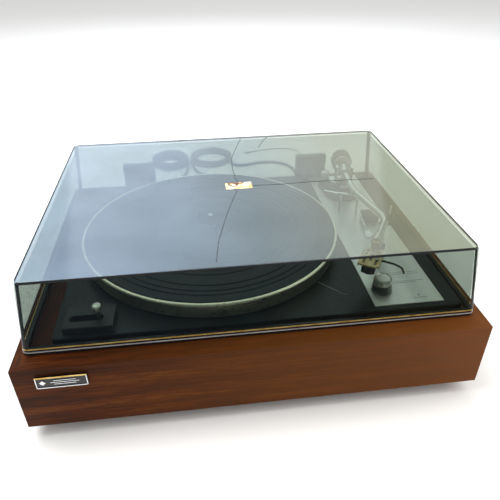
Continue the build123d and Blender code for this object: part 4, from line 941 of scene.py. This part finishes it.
def agedTape(name):
    # Cream paper tape: matt, yellowed in patches, with a few brown pen strokes.
    material, tree, shader = newMaterial(name, Roughness=0.6)
    place = addNode(tree, "TexCoord")
    moved = addNode(tree, "Mapping", {"Vector": place.outputs["Object"], "Location": tape["moved"]})
    blotch = addNode(tree, "TexNoise", {
        "Vector": moved.outputs[0], "Scale": 1 / (tape["blotch"] * mm), "Detail": 3,
    })
    pen = addNode(tree, "TexWave", {
        "Vector": moved.outputs[0], "Scale": 1 / (tape["stroke"] * mm), "Distortion": 5.0, "Detail": 2.0,
    }, wave_type="RINGS")
    tone = addNode(tree, "ValToRGB", {"Fac": blotch.outputs["Fac"]}, stops=tape["tones"])
    stroke = addNode(tree, "MapRange", {
        "Value": pen.outputs["Fac"], "From Min": 0.965, "From Max": 0.99, "To Min": 0.0, "To Max": 1.0,
    })
    inked = addNode(tree, "Mix", {
        0: stroke.outputs[0], 6: tone.outputs["Color"], 7: tape["penTone"],
    }, data_type="RGBA")
    raised = addNode(tree, "Bump", {"Height": blotch.outputs["Fac"], "Distance": 0.1 * mm})
    tree.links.new(inked.outputs[2], shader.inputs["Base Color"])
    tree.links.new(raised.outputs["Normal"], shader.inputs["Normal"])
    return material


def makeTape(setup):
    mesh = bmesh.new()
    wide, deep = setup["size"]
    bmesh.ops.create_grid(mesh, x_segments=16, y_segments=8, size=0.5)
    bmesh.ops.scale(mesh, vec=(wide * mm, deep * mm, 1), verts=mesh.verts[:])
    for vert in mesh.verts:  # its ends lift slightly
        vert.co.z = setup["lift"] * mm * (vert.co.x / (wide / 2 * mm)) ** 4
    bmesh.ops.solidify(mesh, geom=mesh.faces[:], thickness=setup["thick"] * mm)
    bmesh.ops.transform(mesh, matrix=standing(*setup["place"], lid["top"] + 0.18), verts=mesh.verts[:])
    bmesh.ops.recalc_face_normals(mesh, faces=mesh.faces[:])
    finishPiece("repairTape", mesh, [agedTape("agedPaperTape")], "cover")


makeTape(tape)
print("cover glazed")


# A plain pale floor, and soft studio light.
lighting = {
    "floor": "#f4f4f3",
    "sky": 0.72,
    "aim": (0, 0, 0.1),
    "lamps": [
        {"name": "keyLamp", "place": (-0.7, 0.2, 1.6), "size": 1.2, "power": 26, "colour": "#ffffff"},
        {"name": "fillLamp", "place": (1.2, -0.3, 1.2), "size": 1.2, "power": 12, "colour": "#fff8ef"},
        {"name": "backLamp", "place": (0.1, 1.5, 1.4), "size": 1.6, "power": 16, "colour": "#f3f7ff"},
    ],
}


def makeStage(setup):
    mesh = bmesh.new()
    bmesh.ops.create_grid(mesh, x_segments=8, y_segments=8, size=4)
    data = bpy.data.meshes.new("floor")
    mesh.to_mesh(data)
    mesh.free()
    material = newMaterial("paleFloorPaper", Base_Color=setup["floor"], Roughness=0.9)[0]
    data.materials.append(material)
    floor = bpy.data.objects.new("floor", data)
    bpy.context.scene.collection.objects.link(floor)
    world = bpy.data.worlds.new("studio")
    world.use_nodes = True
    world.node_tree.nodes["Background"].inputs["Color"].default_value = (1, 1, 1, 1)
    world.node_tree.nodes["Background"].inputs["Strength"].default_value = setup["sky"]
    bpy.context.scene.world = world
    for lamp in setup["lamps"]:
        light = bpy.data.lights.new(lamp["name"], "AREA")
        light.size = lamp["size"]
        light.energy = lamp["power"]
        light.color = linearColour(lamp["colour"])[:3]
        holder = bpy.data.objects.new(lamp["name"], light)
        bpy.context.scene.collection.objects.link(holder)
        holder.location = lamp["place"]
        towards = Vector(setup["aim"]) - Vector(lamp["place"])
        holder.rotation_euler = towards.to_track_quat("-Z", "Y").to_euler()


makeStage(lighting)
bpy.context.scene.view_settings.view_transform = "Standard"
print("stage lit")
